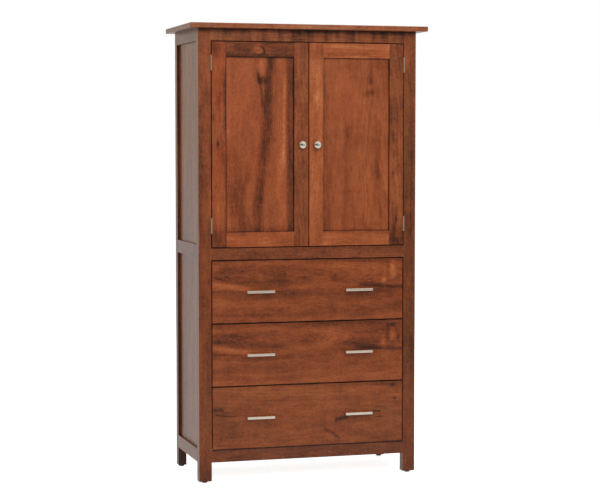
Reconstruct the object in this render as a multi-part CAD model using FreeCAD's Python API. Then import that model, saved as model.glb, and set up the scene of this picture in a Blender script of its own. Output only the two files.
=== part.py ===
import FreeCAD, Part
import math
import os
from FreeCAD import Vector

# An armoire: two framed doors over three full-width drawers, as the pieces it is built from.
# Millimetres, +Z up. The front faces -Y, the origin is on the floor under the middle of the top board.
# Pieces that come in mirrored pairs are drawn on the left, at -X, and mirrored to the right.

# Case: four posts that end in legs, joined by rails
CASE_WIDTH = 910.0
CASE_DEPTH = 427.0
FLOOR_TO_RAILS = 82.0
FRONT_POST_WIDTH = 50.8
REAR_POST_WIDTH = 34.0
POST_DEPTH = 38.0
POST_EDGE_RADIUS = 2.0
FRONT_RAIL_HEIGHT = 48.0
SIDE_RAIL_HEIGHT = 52.0
SIDE_RAIL_THICKNESS = 25.0
SIDE_MIDDLE_RAIL_RISE = 11.0
BACK_RAIL_HEIGHT = 56.0
BACK_RAIL_THICKNESS = 20.0
BACK_RAIL_INSET = 4.0
TENON_LENGTH = 20.0
BACK_TENON_LENGTH = 10.0
TENON_THICKNESS = 10.0
TENON_SHOULDER_MARGIN = 2.0

# Panels: thin boards that float in grooves of the posts, rails and door frames
PANEL_THICKNESS = 6.0
GROOVE_DEPTH = 8.0
PANEL_SWELL_ROOM = 1.0
SIDE_PANEL_RECESS = 10.0
BACK_PANEL_INSET = 11.0
DOOR_PANEL_RECESS = 9.0

# Top board and foot glides
TOP_THICKNESS = 20.0
TOP_FRONT_OVERHANG = 38.0
TOP_SIDE_OVERHANG = 39.0
TOP_EDGE_RADIUS = 2.5
GLIDE_DIAMETER = 22.0
GLIDE_HEIGHT = 7.0
GLIDE_EDGE_RADIUS = 2.0
GLIDE_NAIL_DIAMETER = 3.0
GLIDE_NAIL_LENGTH = 18.0

# Cupboard: floor, shelves and what carries them
FLOOR_THICKNESS = 12.0
FLOOR_SEAT = 5.0
FLOOR_POST_ROOM = 1.0
SHELF_THICKNESS = 19.0
SHELF_END_ROOM = 1.5
SHELF_FRONT_ROOM = 1.0
SHELF_BACK_ROOM = 2.0
SHELF_EDGE_RADIUS = 2.0
STANDARD_WIDTH = 30.0
PIN_DIAMETER = 5.0
PIN_DEPTH = 10.0
PIN_TONGUE_LENGTH = 12.0
PIN_TONGUE_WIDTH = 9.0
PIN_TONGUE_THICKNESS = 3.0
REAR_PIN_INSET = 12.0
FIRST_PIN_RISE = 144.0
PIN_PITCH = 64.0
PIN_HOLE_COUNT = 9
SHELF_PIN_HOLES = (2, 6)

# Doors: stiles and rails round a flat panel, inset flush with the posts
DOOR_HEIGHT = 816.0
DOOR_THICKNESS = 21.0
DOOR_GAP = 2.5
DOOR_FRAME_WIDTH = 60.0
DOOR_TENON_LENGTH = 22.0
DOOR_EDGE_RADIUS = 1.5

# Butt hinges whose barrels stand proud of the front
HINGE_LENGTH = 59.0
HINGE_BARREL_RADIUS = 3.2
HINGE_PIN_RADIUS = 1.6
HINGE_PIN_CLEARANCE = 0.08
HINGE_PIN_HEAD_RADIUS = 2.6
HINGE_PIN_HEAD_HEIGHT = 1.2
HINGE_LEAF_THICKNESS = 1.8
HINGE_LEAF_WIDTH = 18.0
HINGE_FROM_DOOR_TOP = 84.5
HINGE_FROM_DOOR_BOTTOM = 87.0
KNUCKLE_COUNT = 5
KNUCKLE_GAP = 0.4
KNUCKLE_ROOM = 0.3
HINGE_SCREW_SPREAD = 44.0
HINGE_SCREW_INSET = 10.0
HINGE_SCREW_LENGTH = 16.0

# Knobs, one in the middle of each lock stile
KNOB_DIAMETER = 31.0
KNOB_PROJECTION = 28.0
KNOB_BASE_DIAMETER = 17.0
KNOB_BASE_HEIGHT = 2.0
KNOB_NECK_DIAMETER = 11.0
KNOB_FLARE_HEIGHT = 4.2
KNOB_RIM_HEIGHT = 2.5
KNOB_DOME_HEIGHT = 6.0

# Magnetic catch behind the top rail, and the strike plates on the doors
CATCH_LENGTH = 76.0
CATCH_DEPTH = 16.0
CATCH_ABOVE_EDGE = 20.0
CATCH_BELOW_EDGE = 18.0
CATCH_GAP = 0.2
MAGNET_LENGTH = 22.0
MAGNET_HEIGHT = 10.0
MAGNET_DEPTH = 6.0
STRIKE_THICKNESS = 0.8
STRIKE_LENGTH = 26.0
STRIKE_MARGIN = 1.5
STRIKE_SCREW_LENGTH = 11.0

# Drawers: a thick front, thin sides in sliding dovetails, a back in through dovetails, a loose bottom
DRAWER_NAMES = ("bottom", "middle", "top")
DRAWER_FRONT_HEIGHT = 250.0
DRAWER_FRONT_THICKNESS = 20.0
DRAWER_GAP = 3.0
DRAWER_EDGE_RADIUS = 1.5
DRAWER_BACK_ROOM = 40.0
DRAWER_BOX_BELOW = 20.0
DRAWER_BOX_ABOVE = 25.0
DRAWER_SIDE_THICKNESS = 12.0
DRAWER_BACK_THICKNESS = 12.0
DRAWER_BOTTOM_THICKNESS = 6.0
DRAWER_BOTTOM_RISE = 10.0
DRAWER_BOTTOM_GROOVE = 6.0
DRAWER_BOTTOM_ROOM = 0.5
TONGUE_LENGTH = 8.0
TONGUE_NECK = 6.0
TONGUE_END = 9.0
TAIL_COUNT = 4
TAIL_SHARE = 0.62
TAIL_SLOPE = 7.0

# Telescopic slides: three nested channels a side, and the cleats behind them
SLIDE_HEIGHT = 45.0
SLIDE_THICKNESS = 12.7
SLIDE_WALL = 1.2
SLIDE_RUNNING_GAP = 0.4
SLIDE_LIP_ROOM = 1.0
SLIDE_FRONT_ROOM = 2.0
CLEAT_HEIGHT = 60.0

# Pulls: a flat bar on two round posts, two on each drawer
PULL_CENTRES = 96.0
PULL_END = 9.0
PULL_HEIGHT = 10.5
PULL_THICKNESS = 8.0
PULL_EDGE_RADIUS = 2.5
PULL_STANDOFF = 22.0
PULL_POST_DIAMETER = 9.0
PULL_OFFSET = 206.0

# Screws: machine screws for pulls and knobs, pan heads for the catch, flat heads for hinges and strikes
MACHINE_SCREW_RADIUS = 2.0
MACHINE_SCREW_BITE = 12.0
PAN_HEAD_RADIUS = 4.0
PAN_HEAD_HEIGHT = 2.5
PAN_SCREW_RADIUS = 1.5
PAN_SCREW_BITE = 10.0
FLAT_SCREW_RADIUS = 1.5
FLAT_HEAD_RADIUS = 3.0


def grown(span, amount):
    """A span made longer by the same amount at both ends."""
    return span[0] - amount, span[1] + amount


def centred(middle, length):
    """A span of a given length about its middle."""
    return middle - length / 2, middle + length / 2


def middle_of(span):
    return (span[0] + span[1]) / 2


# Heights, from the floor up
BOTTOM_RAIL_Z = (FLOOR_TO_RAILS, FLOOR_TO_RAILS + FRONT_RAIL_HEIGHT)
DRAWER_PITCH = DRAWER_FRONT_HEIGHT + DRAWER_GAP
DRAWER_BAY_TOP = BOTTOM_RAIL_Z[1] + len(DRAWER_NAMES) * DRAWER_PITCH + DRAWER_GAP
MIDDLE_RAIL_Z = (DRAWER_BAY_TOP, DRAWER_BAY_TOP + FRONT_RAIL_HEIGHT)
DOOR_Z = (MIDDLE_RAIL_Z[1] + DOOR_GAP, MIDDLE_RAIL_Z[1] + DOOR_GAP + DOOR_HEIGHT)
TOP_RAIL_Z = (DOOR_Z[1] + DOOR_GAP, DOOR_Z[1] + DOOR_GAP + FRONT_RAIL_HEIGHT)
POST_Z = (GLIDE_HEIGHT, TOP_RAIL_Z[1])
TOP_Z = (TOP_RAIL_Z[1], TOP_RAIL_Z[1] + TOP_THICKNESS)
SIDE_MIDDLE_LOW = MIDDLE_RAIL_Z[0] + SIDE_MIDDLE_RAIL_RISE
FRONT_RAILS_Z = (BOTTOM_RAIL_Z, MIDDLE_RAIL_Z, TOP_RAIL_Z)
SIDE_RAILS_Z = (
    (FLOOR_TO_RAILS, FLOOR_TO_RAILS + SIDE_RAIL_HEIGHT),
    (SIDE_MIDDLE_LOW, SIDE_MIDDLE_LOW + SIDE_RAIL_HEIGHT),
    TOP_RAIL_Z,
)
BACK_RAILS_Z = (
    (FLOOR_TO_RAILS, FLOOR_TO_RAILS + BACK_RAIL_HEIGHT),
    (MIDDLE_RAIL_Z[1] - BACK_RAIL_HEIGHT, MIDDLE_RAIL_Z[1]),
    (TOP_RAIL_Z[1] - BACK_RAIL_HEIGHT, TOP_RAIL_Z[1]),
)
FLOOR_Z = (MIDDLE_RAIL_Z[1] - FLOOR_THICKNESS, MIDDLE_RAIL_Z[1])
HINGE_HEIGHTS = (DOOR_Z[0] + HINGE_FROM_DOOR_BOTTOM, DOOR_Z[1] - HINGE_FROM_DOOR_TOP)
PIN_HEIGHTS = [FLOOR_Z[1] + FIRST_PIN_RISE + PIN_PITCH * row for row in range(PIN_HOLE_COUNT)]

# Depths, from front to back
FRONT = TOP_FRONT_OVERHANG - (CASE_DEPTH + TOP_FRONT_OVERHANG) / 2
BACK = FRONT + CASE_DEPTH
FRONT_RAIL_THICKNESS = DOOR_THICKNESS + STRIKE_THICKNESS + CATCH_GAP
FRONT_POST_Y = (FRONT, FRONT + POST_DEPTH)
REAR_POST_Y = (BACK - POST_DEPTH, BACK)
SIDE_OPENING_Y = (FRONT_POST_Y[1], REAR_POST_Y[0])
FRONT_RAIL_Y = (FRONT, FRONT + FRONT_RAIL_THICKNESS)
BACK_RAIL_Y = (BACK - BACK_RAIL_INSET - BACK_RAIL_THICKNESS, BACK - BACK_RAIL_INSET)
BACK_PANEL_Y = (BACK - BACK_PANEL_INSET - PANEL_THICKNESS, BACK - BACK_PANEL_INSET)
DOOR_Y = (FRONT, FRONT + DOOR_THICKNESS)
DOOR_PANEL_Y = (FRONT + DOOR_PANEL_RECESS, FRONT + DOOR_PANEL_RECESS + PANEL_THICKNESS)
DRAWER_FRONT_Y = (FRONT, FRONT + DRAWER_FRONT_THICKNESS)
DRAWER_REAR = BACK_PANEL_Y[0] - DRAWER_BACK_ROOM
DRAWER_BACK_Y = (DRAWER_REAR - DRAWER_BACK_THICKNESS, DRAWER_REAR)
SLIDE_Y = (DRAWER_FRONT_Y[1] + SLIDE_FRONT_ROOM, DRAWER_REAR + SLIDE_FRONT_ROOM)
SHELF_Y = (FRONT_POST_Y[1] + SHELF_FRONT_ROOM, BACK_PANEL_Y[0] - SHELF_BACK_ROOM)
HINGE_Y = FRONT - HINGE_BARREL_RADIUS

# Widths, on the left half
LEFT = -CASE_WIDTH / 2
FRONT_POST_X = (LEFT, LEFT + FRONT_POST_WIDTH)
REAR_POST_X = (LEFT, LEFT + REAR_POST_WIDTH)
SIDE_RAIL_X = (LEFT, LEFT + SIDE_RAIL_THICKNESS)
SIDE_PANEL_X = (LEFT + SIDE_PANEL_RECESS, LEFT + SIDE_PANEL_RECESS + PANEL_THICKNESS)
SIDE_TENON_X = centred(middle_of(SIDE_RAIL_X), TENON_THICKNESS)
FRONT_OPENING_X = (FRONT_POST_X[1], -FRONT_POST_X[1])
BACK_OPENING_X = (REAR_POST_X[1], -REAR_POST_X[1])
DOOR_X = (FRONT_POST_X[1] + DOOR_GAP, -DOOR_GAP / 2)
HINGE_STILE_X = (DOOR_X[0], DOOR_X[0] + DOOR_FRAME_WIDTH)
LOCK_STILE_X = (DOOR_X[1] - DOOR_FRAME_WIDTH, DOOR_X[1])
DOOR_OPENING_X = (HINGE_STILE_X[1], LOCK_STILE_X[0])
DOOR_OPENING_Z = grown(DOOR_Z, -DOOR_FRAME_WIDTH)
HINGE_X = middle_of((FRONT_POST_X[1], DOOR_X[0]))
FRAME_LEAF_X = (FRONT_POST_X[1] - HINGE_LEAF_THICKNESS, FRONT_POST_X[1])
DOOR_LEAF_X = (DOOR_X[0], DOOR_X[0] + HINGE_LEAF_THICKNESS)
DRAWER_SIDE_X = (FRONT_POST_X[1] + SLIDE_THICKNESS,
                 FRONT_POST_X[1] + SLIDE_THICKNESS + DRAWER_SIDE_THICKNESS)

# Amounts that several joints share
TENON_SHOULDER = GROOVE_DEPTH + TENON_SHOULDER_MARGIN
PANEL_SEAT = GROOVE_DEPTH - PANEL_SWELL_ROOM
DRAWER_BOTTOM_SEAT = DRAWER_BOTTOM_GROOVE - DRAWER_BOTTOM_ROOM


def block(x, y, z):
    """A box from its three spans."""
    return Part.makeBox(x[1] - x[0], y[1] - y[0], z[1] - z[0], Vector(x[0], y[0], z[0]))


def rod(radius, start, direction, length):
    return Part.makeCylinder(radius, length, start, direction)


def mirrored(shape):
    return shape.mirror(Vector(0, 0, 0), Vector(1, 0, 0))


def both_sides(shapes):
    return list(shapes) + [mirrored(shape) for shape in shapes]


def on_plane(edge, axis, value):
    """Whether all of an edge lies on a plane square to an axis, named x, y or z."""
    return all(abs(getattr(vertex, axis.upper()) - value) < 1e-6 for vertex in edge.Vertexes)


def eased(shape, radius, axis, value):
    """The shape with a rounded arris all round its face on the given plane."""
    edges = [edge for edge in shape.Edges if on_plane(edge, axis, value)]
    return shape.makeFillet(radius, edges)


def gaps_between(spans):
    """The open spans between neighbours in a rising row of spans."""
    return [(low[1], high[0]) for low, high in zip(spans, spans[1:])]


SIDE_GAPS_Z = gaps_between(SIDE_RAILS_Z)
BACK_GAPS_Z = gaps_between(BACK_RAILS_Z)


# Screws

def flat_screw(head, direction, plate, length):
    """A screw whose cone fills the thickness of a plate and whose shank goes on into the wood."""
    cone = Part.makeCone(FLAT_HEAD_RADIUS, FLAT_SCREW_RADIUS, plate, head, direction)
    return cone.fuse(rod(FLAT_SCREW_RADIUS, head + direction * plate, direction, length - plate))


def pan_screw(seat, direction, radius, length):
    """A screw with a flat round head behind its seat and a shank in front of it."""
    head = rod(PAN_HEAD_RADIUS, seat, direction * -1, PAN_HEAD_HEIGHT)
    return head.fuse(rod(radius, seat, direction, length))


# Case frame

def side_rail(z):
    """A side rail with a tenon at each end and grooves for the panels above and below it."""
    tenons = block(SIDE_TENON_X, grown(SIDE_OPENING_Y, TENON_LENGTH), grown(z, -TENON_SHOULDER))
    rail = block(SIDE_RAIL_X, SIDE_OPENING_Y, z).fuse(tenons)
    grooves = [block(SIDE_PANEL_X, SIDE_OPENING_Y, grown(gap, GROOVE_DEPTH)) for gap in SIDE_GAPS_Z]
    return rail.cut(grooves + [cupboard_floor()])


def front_rail(z):
    """A front rail with a tenon at each end. The middle one has a rabbet for the cupboard's floor."""
    tenon_y = centred(middle_of(FRONT_RAIL_Y), TENON_THICKNESS)
    tenons = block(grown(FRONT_OPENING_X, TENON_LENGTH), tenon_y, grown(z, -TENON_SHOULDER))
    return block(FRONT_OPENING_X, FRONT_RAIL_Y, z).fuse(tenons).cut(cupboard_floor())


def back_rail(z):
    """A back rail with tenons, panel grooves and, on the middle one, a rabbet for the floor."""
    tenon_y = centred(middle_of(BACK_RAIL_Y), TENON_THICKNESS)
    tenons = block(grown(BACK_OPENING_X, BACK_TENON_LENGTH), tenon_y, grown(z, -TENON_SHOULDER))
    rail = block(BACK_OPENING_X, BACK_RAIL_Y, z).fuse(tenons)
    grooves = [block(BACK_OPENING_X, BACK_PANEL_Y, grown(gap, GROOVE_DEPTH)) for gap in BACK_GAPS_Z]
    return rail.cut(grooves + [cupboard_floor()])


def front_post():
    """The left front post, with mortises, a panel groove, hinge mortises and a hole for the glide's nail."""
    post = block(FRONT_POST_X, FRONT_POST_Y, POST_Z)
    corner = [edge for edge in post.Edges if on_plane(edge, "x", LEFT) and on_plane(edge, "y", FRONT)]
    post = post.makeFillet(POST_EDGE_RADIUS, corner)
    groove_y = (FRONT_POST_Y[1] - GROOVE_DEPTH, FRONT_POST_Y[1])
    tools = [block(SIDE_PANEL_X, groove_y, grown(gap, GROOVE_DEPTH)) for gap in SIDE_GAPS_Z]
    tools += [front_rail(z) for z in FRONT_RAILS_Z]
    tools += [side_rail(z) for z in SIDE_RAILS_Z]
    tools += [leaf_plate(z, FRAME_LEAF_X) for z in HINGE_HEIGHTS]
    tools += frame_leaf_screws()
    tools.append(glide(FRONT_POST_X, FRONT_POST_Y))
    return post.cut(tools)


def rear_post():
    """The left rear post, with mortises and grooves on two faces, shelf-pin holes and a nail hole."""
    post = block(REAR_POST_X, REAR_POST_Y, POST_Z)
    corner = [edge for edge in post.Edges if on_plane(edge, "x", LEFT) and on_plane(edge, "y", BACK)]
    post = post.makeFillet(POST_EDGE_RADIUS, corner)
    groove_y = (REAR_POST_Y[0], REAR_POST_Y[0] + GROOVE_DEPTH)
    groove_x = (REAR_POST_X[1] - GROOVE_DEPTH, REAR_POST_X[1])
    tools = [block(SIDE_PANEL_X, groove_y, grown(gap, GROOVE_DEPTH)) for gap in SIDE_GAPS_Z]
    tools += [block(groove_x, BACK_PANEL_Y, grown(gap, GROOVE_DEPTH)) for gap in BACK_GAPS_Z]
    tools += [side_rail(z) for z in SIDE_RAILS_Z]
    tools += [back_rail(z) for z in BACK_RAILS_Z]
    tools += [pin_hole(REAR_PIN_Y, z) for z in PIN_HEIGHTS]
    tools.append(glide(REAR_POST_X, REAR_POST_Y))
    return post.cut(tools)


def side_panels():
    """The left side's two panels, each with its edges in the grooves."""
    y = grown(SIDE_OPENING_Y, PANEL_SEAT)
    return [block(SIDE_PANEL_X, y, grown(gap, PANEL_SEAT)) for gap in SIDE_GAPS_Z]


def back_panels():
    x = grown(BACK_OPENING_X, PANEL_SEAT)
    return [block(x, BACK_PANEL_Y, grown(gap, PANEL_SEAT)) for gap in BACK_GAPS_Z]


def top_board():
    """The top, with rounded arrises, over the posts and rails."""
    x = grown((LEFT, -LEFT), TOP_SIDE_OVERHANG)
    board = block(x, (FRONT - TOP_FRONT_OVERHANG, BACK), TOP_Z)
    return board.makeFillet(TOP_EDGE_RADIUS, board.Edges)


def glide(post_x, post_y):
    """A nail-on glide: a disc with a rounded lower edge, and the nail that goes up into the post."""
    foot = Vector(middle_of(post_x), middle_of(post_y), 0)
    disc = rod(GLIDE_DIAMETER / 2, foot, Vector(0, 0, 1), GLIDE_HEIGHT)
    disc = eased(disc, GLIDE_EDGE_RADIUS, "z", 0)
    nail_root = foot + Vector(0, 0, GLIDE_HEIGHT / 2)
    nail = rod(GLIDE_NAIL_DIAMETER / 2, nail_root, Vector(0, 0, 1), GLIDE_HEIGHT / 2 + GLIDE_NAIL_LENGTH)
    return disc.fuse(nail)


# Cupboard

REAR_PIN_Y = REAR_POST_Y[0] + REAR_PIN_INSET
FRONT_PIN_Y = FRONT_POST_Y[1] + STANDARD_WIDTH / 2


def cupboard_floor():
    """The cupboard's floor with its edges in the rails, notched round the four posts."""
    x = (SIDE_RAIL_X[1] - FLOOR_SEAT, FLOOR_SEAT - SIDE_RAIL_X[1])
    y = (FRONT_RAIL_Y[1] - FLOOR_SEAT, middle_of((BACK_RAIL_Y[0], BACK_PANEL_Y[0])))
    board = block(x, y, FLOOR_Z)
    front_notch = block(grown(FRONT_POST_X, FLOOR_POST_ROOM), grown(FRONT_POST_Y, FLOOR_POST_ROOM), FLOOR_Z)
    rear_notch = block(grown(REAR_POST_X, FLOOR_POST_ROOM), grown(REAR_POST_Y, FLOOR_POST_ROOM), FLOOR_Z)
    return board.cut(both_sides([front_notch, rear_notch]))


def shelf_standard():
    """A strip behind the left front post, level with the rear post's face, with the front pin holes."""
    x = (SIDE_PANEL_X[1], REAR_POST_X[1])
    y = (FRONT_POST_Y[1], FRONT_POST_Y[1] + STANDARD_WIDTH)
    strip = block(x, y, (SIDE_RAILS_Z[1][1], SIDE_RAILS_Z[2][0]))
    return strip.cut([pin_hole(FRONT_PIN_Y, z) for z in PIN_HEIGHTS])


def pin_hole(y, z):
    return rod(PIN_DIAMETER / 2, Vector(REAR_POST_X[1], y, z), Vector(-1, 0, 0), PIN_DEPTH)


def shelf_pin(y, z):
    """A spoon pin: a round stem in its hole and a flat tongue, level with the stem's top, under the shelf."""
    top = z + PIN_DIAMETER / 2
    tongue_x = (REAR_POST_X[1], REAR_POST_X[1] + PIN_TONGUE_LENGTH)
    tongue = block(tongue_x, centred(y, PIN_TONGUE_WIDTH), (top - PIN_TONGUE_THICKNESS, top))
    return pin_hole(y, z).fuse(tongue)


def shelf_pins():
    heights = [PIN_HEIGHTS[row] for row in SHELF_PIN_HOLES]
    return [shelf_pin(y, z) for z in heights for y in (FRONT_PIN_Y, REAR_PIN_Y)]


def shelf(row):
    """A shelf lying on the pins in one row of holes, with its front arrises rounded."""
    underside = PIN_HEIGHTS[row] + PIN_DIAMETER / 2
    board = block(grown(BACK_OPENING_X, -SHELF_END_ROOM), SHELF_Y, (underside, underside + SHELF_THICKNESS))
    return eased(board, SHELF_EDGE_RADIUS, "y", SHELF_Y[0])


# Hinges

def knuckle_span(z, index):
    """The height span of one knuckle, without the gaps at its ends."""
    pitch = HINGE_LENGTH / KNUCKLE_COUNT
    low = z - HINGE_LENGTH / 2 + index * pitch
    return grown((low, low + pitch), -KNUCKLE_GAP / 2)


def barrel(radius, span):
    return rod(radius, Vector(HINGE_X, HINGE_Y, span[0]), Vector(0, 0, 1), span[1] - span[0])


def leaf_plate(z, plate_x):
    """A leaf before its knuckles are cut, which is also the shape of its mortise."""
    return block(plate_x, (HINGE_Y, FRONT + HINGE_LEAF_WIDTH), centred(z, HINGE_LENGTH))


def hinge_leaf(z, plate_x, first_knuckle):
    """A leaf let into the wood, with every second knuckle its own and room round the others."""
    leaf = leaf_plate(z, plate_x)
    own = range(first_knuckle, KNUCKLE_COUNT, 2)
    other = range(1 - first_knuckle, KNUCKLE_COUNT, 2)
    room = HINGE_BARREL_RADIUS + KNUCKLE_ROOM
    leaf = leaf.cut([barrel(room, grown(knuckle_span(z, index), KNUCKLE_GAP)) for index in other])
    leaf = leaf.fuse([barrel(HINGE_BARREL_RADIUS, knuckle_span(z, index)) for index in own])
    return leaf.cut(barrel(HINGE_PIN_RADIUS + HINGE_PIN_CLEARANCE, centred(z, HINGE_LENGTH)))


def leaf_screws(face_x, direction):
    """Three screws through each of a door's two leaves on one side, from the leaf's open face."""
    y = FRONT + HINGE_SCREW_INSET
    rises = (-HINGE_SCREW_SPREAD / 2, 0, HINGE_SCREW_SPREAD / 2)
    heads = [Vector(face_x, y, z + rise) for z in HINGE_HEIGHTS for rise in rises]
    return [flat_screw(head, direction, HINGE_LEAF_THICKNESS, HINGE_SCREW_LENGTH) for head in heads]


def frame_leaf_screws():
    return leaf_screws(FRONT_POST_X[1], Vector(-1, 0, 0))


def door_leaf_screws():
    return leaf_screws(DOOR_X[0], Vector(1, 0, 0))


def frame_leaf(z):
    return hinge_leaf(z, FRAME_LEAF_X, 0).cut(frame_leaf_screws())


def door_leaf(z):
    return hinge_leaf(z, DOOR_LEAF_X, 1).cut(door_leaf_screws())


def hinge_pin(z):
    """The pin through all the knuckles, with a flat head at each end."""
    span = centred(z, HINGE_LENGTH)
    heads = [barrel(HINGE_PIN_HEAD_RADIUS, (span[1], span[1] + HINGE_PIN_HEAD_HEIGHT)),
             barrel(HINGE_PIN_HEAD_RADIUS, (span[0] - HINGE_PIN_HEAD_HEIGHT, span[0]))]
    return barrel(HINGE_PIN_RADIUS, span).fuse(heads)


# Doors

def door_groove():
    """The groove all round the inside of a door frame, as a slab that cuts it."""
    return block(grown(DOOR_OPENING_X, GROOVE_DEPTH), DOOR_PANEL_Y, grown(DOOR_OPENING_Z, GROOVE_DEPTH))


def door_rail(z, outer_edge):
    """A door rail with its outer front arris eased and tenons that line up with the panel groove."""
    rail = block(DOOR_OPENING_X, DOOR_Y, z)
    arris = [edge for edge in rail.Edges if on_plane(edge, "z", outer_edge) and on_plane(edge, "y", FRONT)]
    tenons = block(grown(DOOR_OPENING_X, DOOR_TENON_LENGTH), DOOR_PANEL_Y, grown(z, -TENON_SHOULDER))
    return rail.makeFillet(DOOR_EDGE_RADIUS, arris).fuse(tenons).cut(door_groove())


def door_top_rail():
    return door_rail((DOOR_OPENING_Z[1], DOOR_Z[1]), DOOR_Z[1])


def door_bottom_rail():
    return door_rail((DOOR_Z[0], DOOR_OPENING_Z[0]), DOOR_Z[0])


def door_stile(x, inner_edge):
    """A stile with its front arrises eased, but for the one beside the panel, a groove and mortises."""
    stile = block(x, DOOR_Y, DOOR_Z)
    arrises = [edge for edge in stile.Edges
               if on_plane(edge, "y", FRONT) and not on_plane(edge, "x", inner_edge)]
    stile = stile.makeFillet(DOOR_EDGE_RADIUS, arrises)
    return stile.cut([door_groove(), door_top_rail(), door_bottom_rail()])


def hinge_stile():
    mortises = [leaf_plate(z, DOOR_LEAF_X) for z in HINGE_HEIGHTS]
    return door_stile(HINGE_STILE_X, DOOR_OPENING_X[0]).cut(mortises + door_leaf_screws())


def lock_stile():
    return door_stile(LOCK_STILE_X, DOOR_OPENING_X[1]).cut([knob_screw(), strike_screw()])


def door_panel():
    return block(grown(DOOR_OPENING_X, PANEL_SEAT), DOOR_PANEL_Y, grown(DOOR_OPENING_Z, PANEL_SEAT))


KNOB_X = middle_of(LOCK_STILE_X)
KNOB_Z = middle_of(DOOR_Z)


def knob():
    """A turned knob: a base, a hollowed neck, a rim and a low dome."""
    base = KNOB_BASE_DIAMETER / 2
    neck = KNOB_NECK_DIAMETER / 2
    rim = KNOB_DIAMETER / 2
    waist = (neck + base) / 2
    rim_end = KNOB_PROJECTION - KNOB_DOME_HEIGHT
    rim_start = rim_end - KNOB_RIM_HEIGHT
    flare_start = rim_start - KNOB_FLARE_HEIGHT
    dome_radius = (rim ** 2 + KNOB_DOME_HEIGHT ** 2) / (2 * KNOB_DOME_HEIGHT)
    half_angle = math.asin(rim / dome_radius) / 2
    dome_centre = KNOB_PROJECTION - dome_radius

    def at(radius, out):
        return Vector(radius, -out, 0)

    neck_middle = at(neck, middle_of((KNOB_BASE_HEIGHT, flare_start)))
    hollow = Part.Arc(at(base, KNOB_BASE_HEIGHT), neck_middle, at(waist, flare_start))
    dome_middle = at(dome_radius * math.sin(half_angle), dome_centre + dome_radius * math.cos(half_angle))
    dome = Part.Arc(at(rim, rim_end), dome_middle, at(0, KNOB_PROJECTION))
    edges = [
        Part.makeLine(at(0, 0), at(base, 0)),
        Part.makeLine(at(base, 0), at(base, KNOB_BASE_HEIGHT)),
        hollow.toShape(),
        Part.makeLine(at(waist, flare_start), at(rim, rim_start)),
        Part.makeLine(at(rim, rim_start), at(rim, rim_end)),
        dome.toShape(),
        Part.makeLine(at(0, KNOB_PROJECTION), at(0, 0)),
    ]
    turned = Part.Face(Part.Wire(edges)).revolve(Vector(0, 0, 0), Vector(0, 1, 0), 360)
    turned.translate(Vector(KNOB_X, FRONT, KNOB_Z))
    return turned.cut(knob_screw())


def knob_screw():
    seat = Vector(KNOB_X, DOOR_Y[1], KNOB_Z)
    return pan_screw(seat, Vector(0, -1, 0), MACHINE_SCREW_RADIUS, DOOR_THICKNESS + MACHINE_SCREW_BITE)


# Catch and strike plates

CATCH_Y = (FRONT_RAIL_Y[1], FRONT_RAIL_Y[1] + CATCH_DEPTH)
STRIKE_X = middle_of((-CATCH_LENGTH / 2, DOOR_X[1]))
CATCH_Z = (TOP_RAIL_Z[0] - CATCH_BELOW_EDGE, TOP_RAIL_Z[0] + CATCH_ABOVE_EDGE)
STRIKE_PLATE_Z = grown((CATCH_Z[0], DOOR_Z[1]), -STRIKE_MARGIN)
STRIKE_Z = middle_of(STRIKE_PLATE_Z)


def magnet():
    y = (CATCH_Y[0], CATCH_Y[0] + MAGNET_DEPTH)
    return block(centred(STRIKE_X, MAGNET_LENGTH), y, centred(STRIKE_Z, MAGNET_HEIGHT))


def catch_screw():
    seat = Vector(STRIKE_X, CATCH_Y[1], TOP_RAIL_Z[0] + CATCH_ABOVE_EDGE / 2)
    return pan_screw(seat, Vector(0, -1, 0), PAN_SCREW_RADIUS, CATCH_DEPTH + PAN_SCREW_BITE)


def catch_parts():
    """The catch's housing, hung on the back of the top rail, and its two magnets."""
    housing = block(centred(0, CATCH_LENGTH), CATCH_Y, CATCH_Z)
    magnets = both_sides([magnet()])
    return [housing.cut(magnets + both_sides([catch_screw()]))] + magnets


def strike_screw():
    head = Vector(STRIKE_X, DOOR_Y[1] + STRIKE_THICKNESS, STRIKE_Z)
    return flat_screw(head, Vector(0, -1, 0), STRIKE_THICKNESS, STRIKE_SCREW_LENGTH)


def strike_plate():
    y = (DOOR_Y[1], DOOR_Y[1] + STRIKE_THICKNESS)
    return block(centred(STRIKE_X, STRIKE_LENGTH), y, STRIKE_PLATE_Z).cut(strike_screw())


# Drawers. Each function takes the height of the drawer front's lower edge.

def box_span(low):
    """The height span of a drawer's sides."""
    return low + DRAWER_BOX_BELOW, low + DRAWER_FRONT_HEIGHT - DRAWER_BOX_ABOVE


def bottom_span(low):
    rise = box_span(low)[0] + DRAWER_BOTTOM_RISE
    return rise, rise + DRAWER_BOTTOM_THICKNESS


def tongue(z):
    """The left side's dovetailed tongue, wider at its end than at its neck."""
    middle = middle_of(DRAWER_SIDE_X)
    shoulder = DRAWER_FRONT_Y[1]
    end = shoulder - TONGUE_LENGTH
    neck_low, neck_high = centred(middle, TONGUE_NECK)
    end_low, end_high = centred(middle, TONGUE_END)
    corners = [Vector(neck_low, shoulder, z[0]), Vector(neck_high, shoulder, z[0]),
               Vector(end_high, end, z[0]), Vector(end_low, end, z[0])]
    outline = Part.makePolygon(corners + corners[:1])
    return Part.Face(outline).extrude(Vector(0, 0, z[1] - z[0]))


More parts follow.
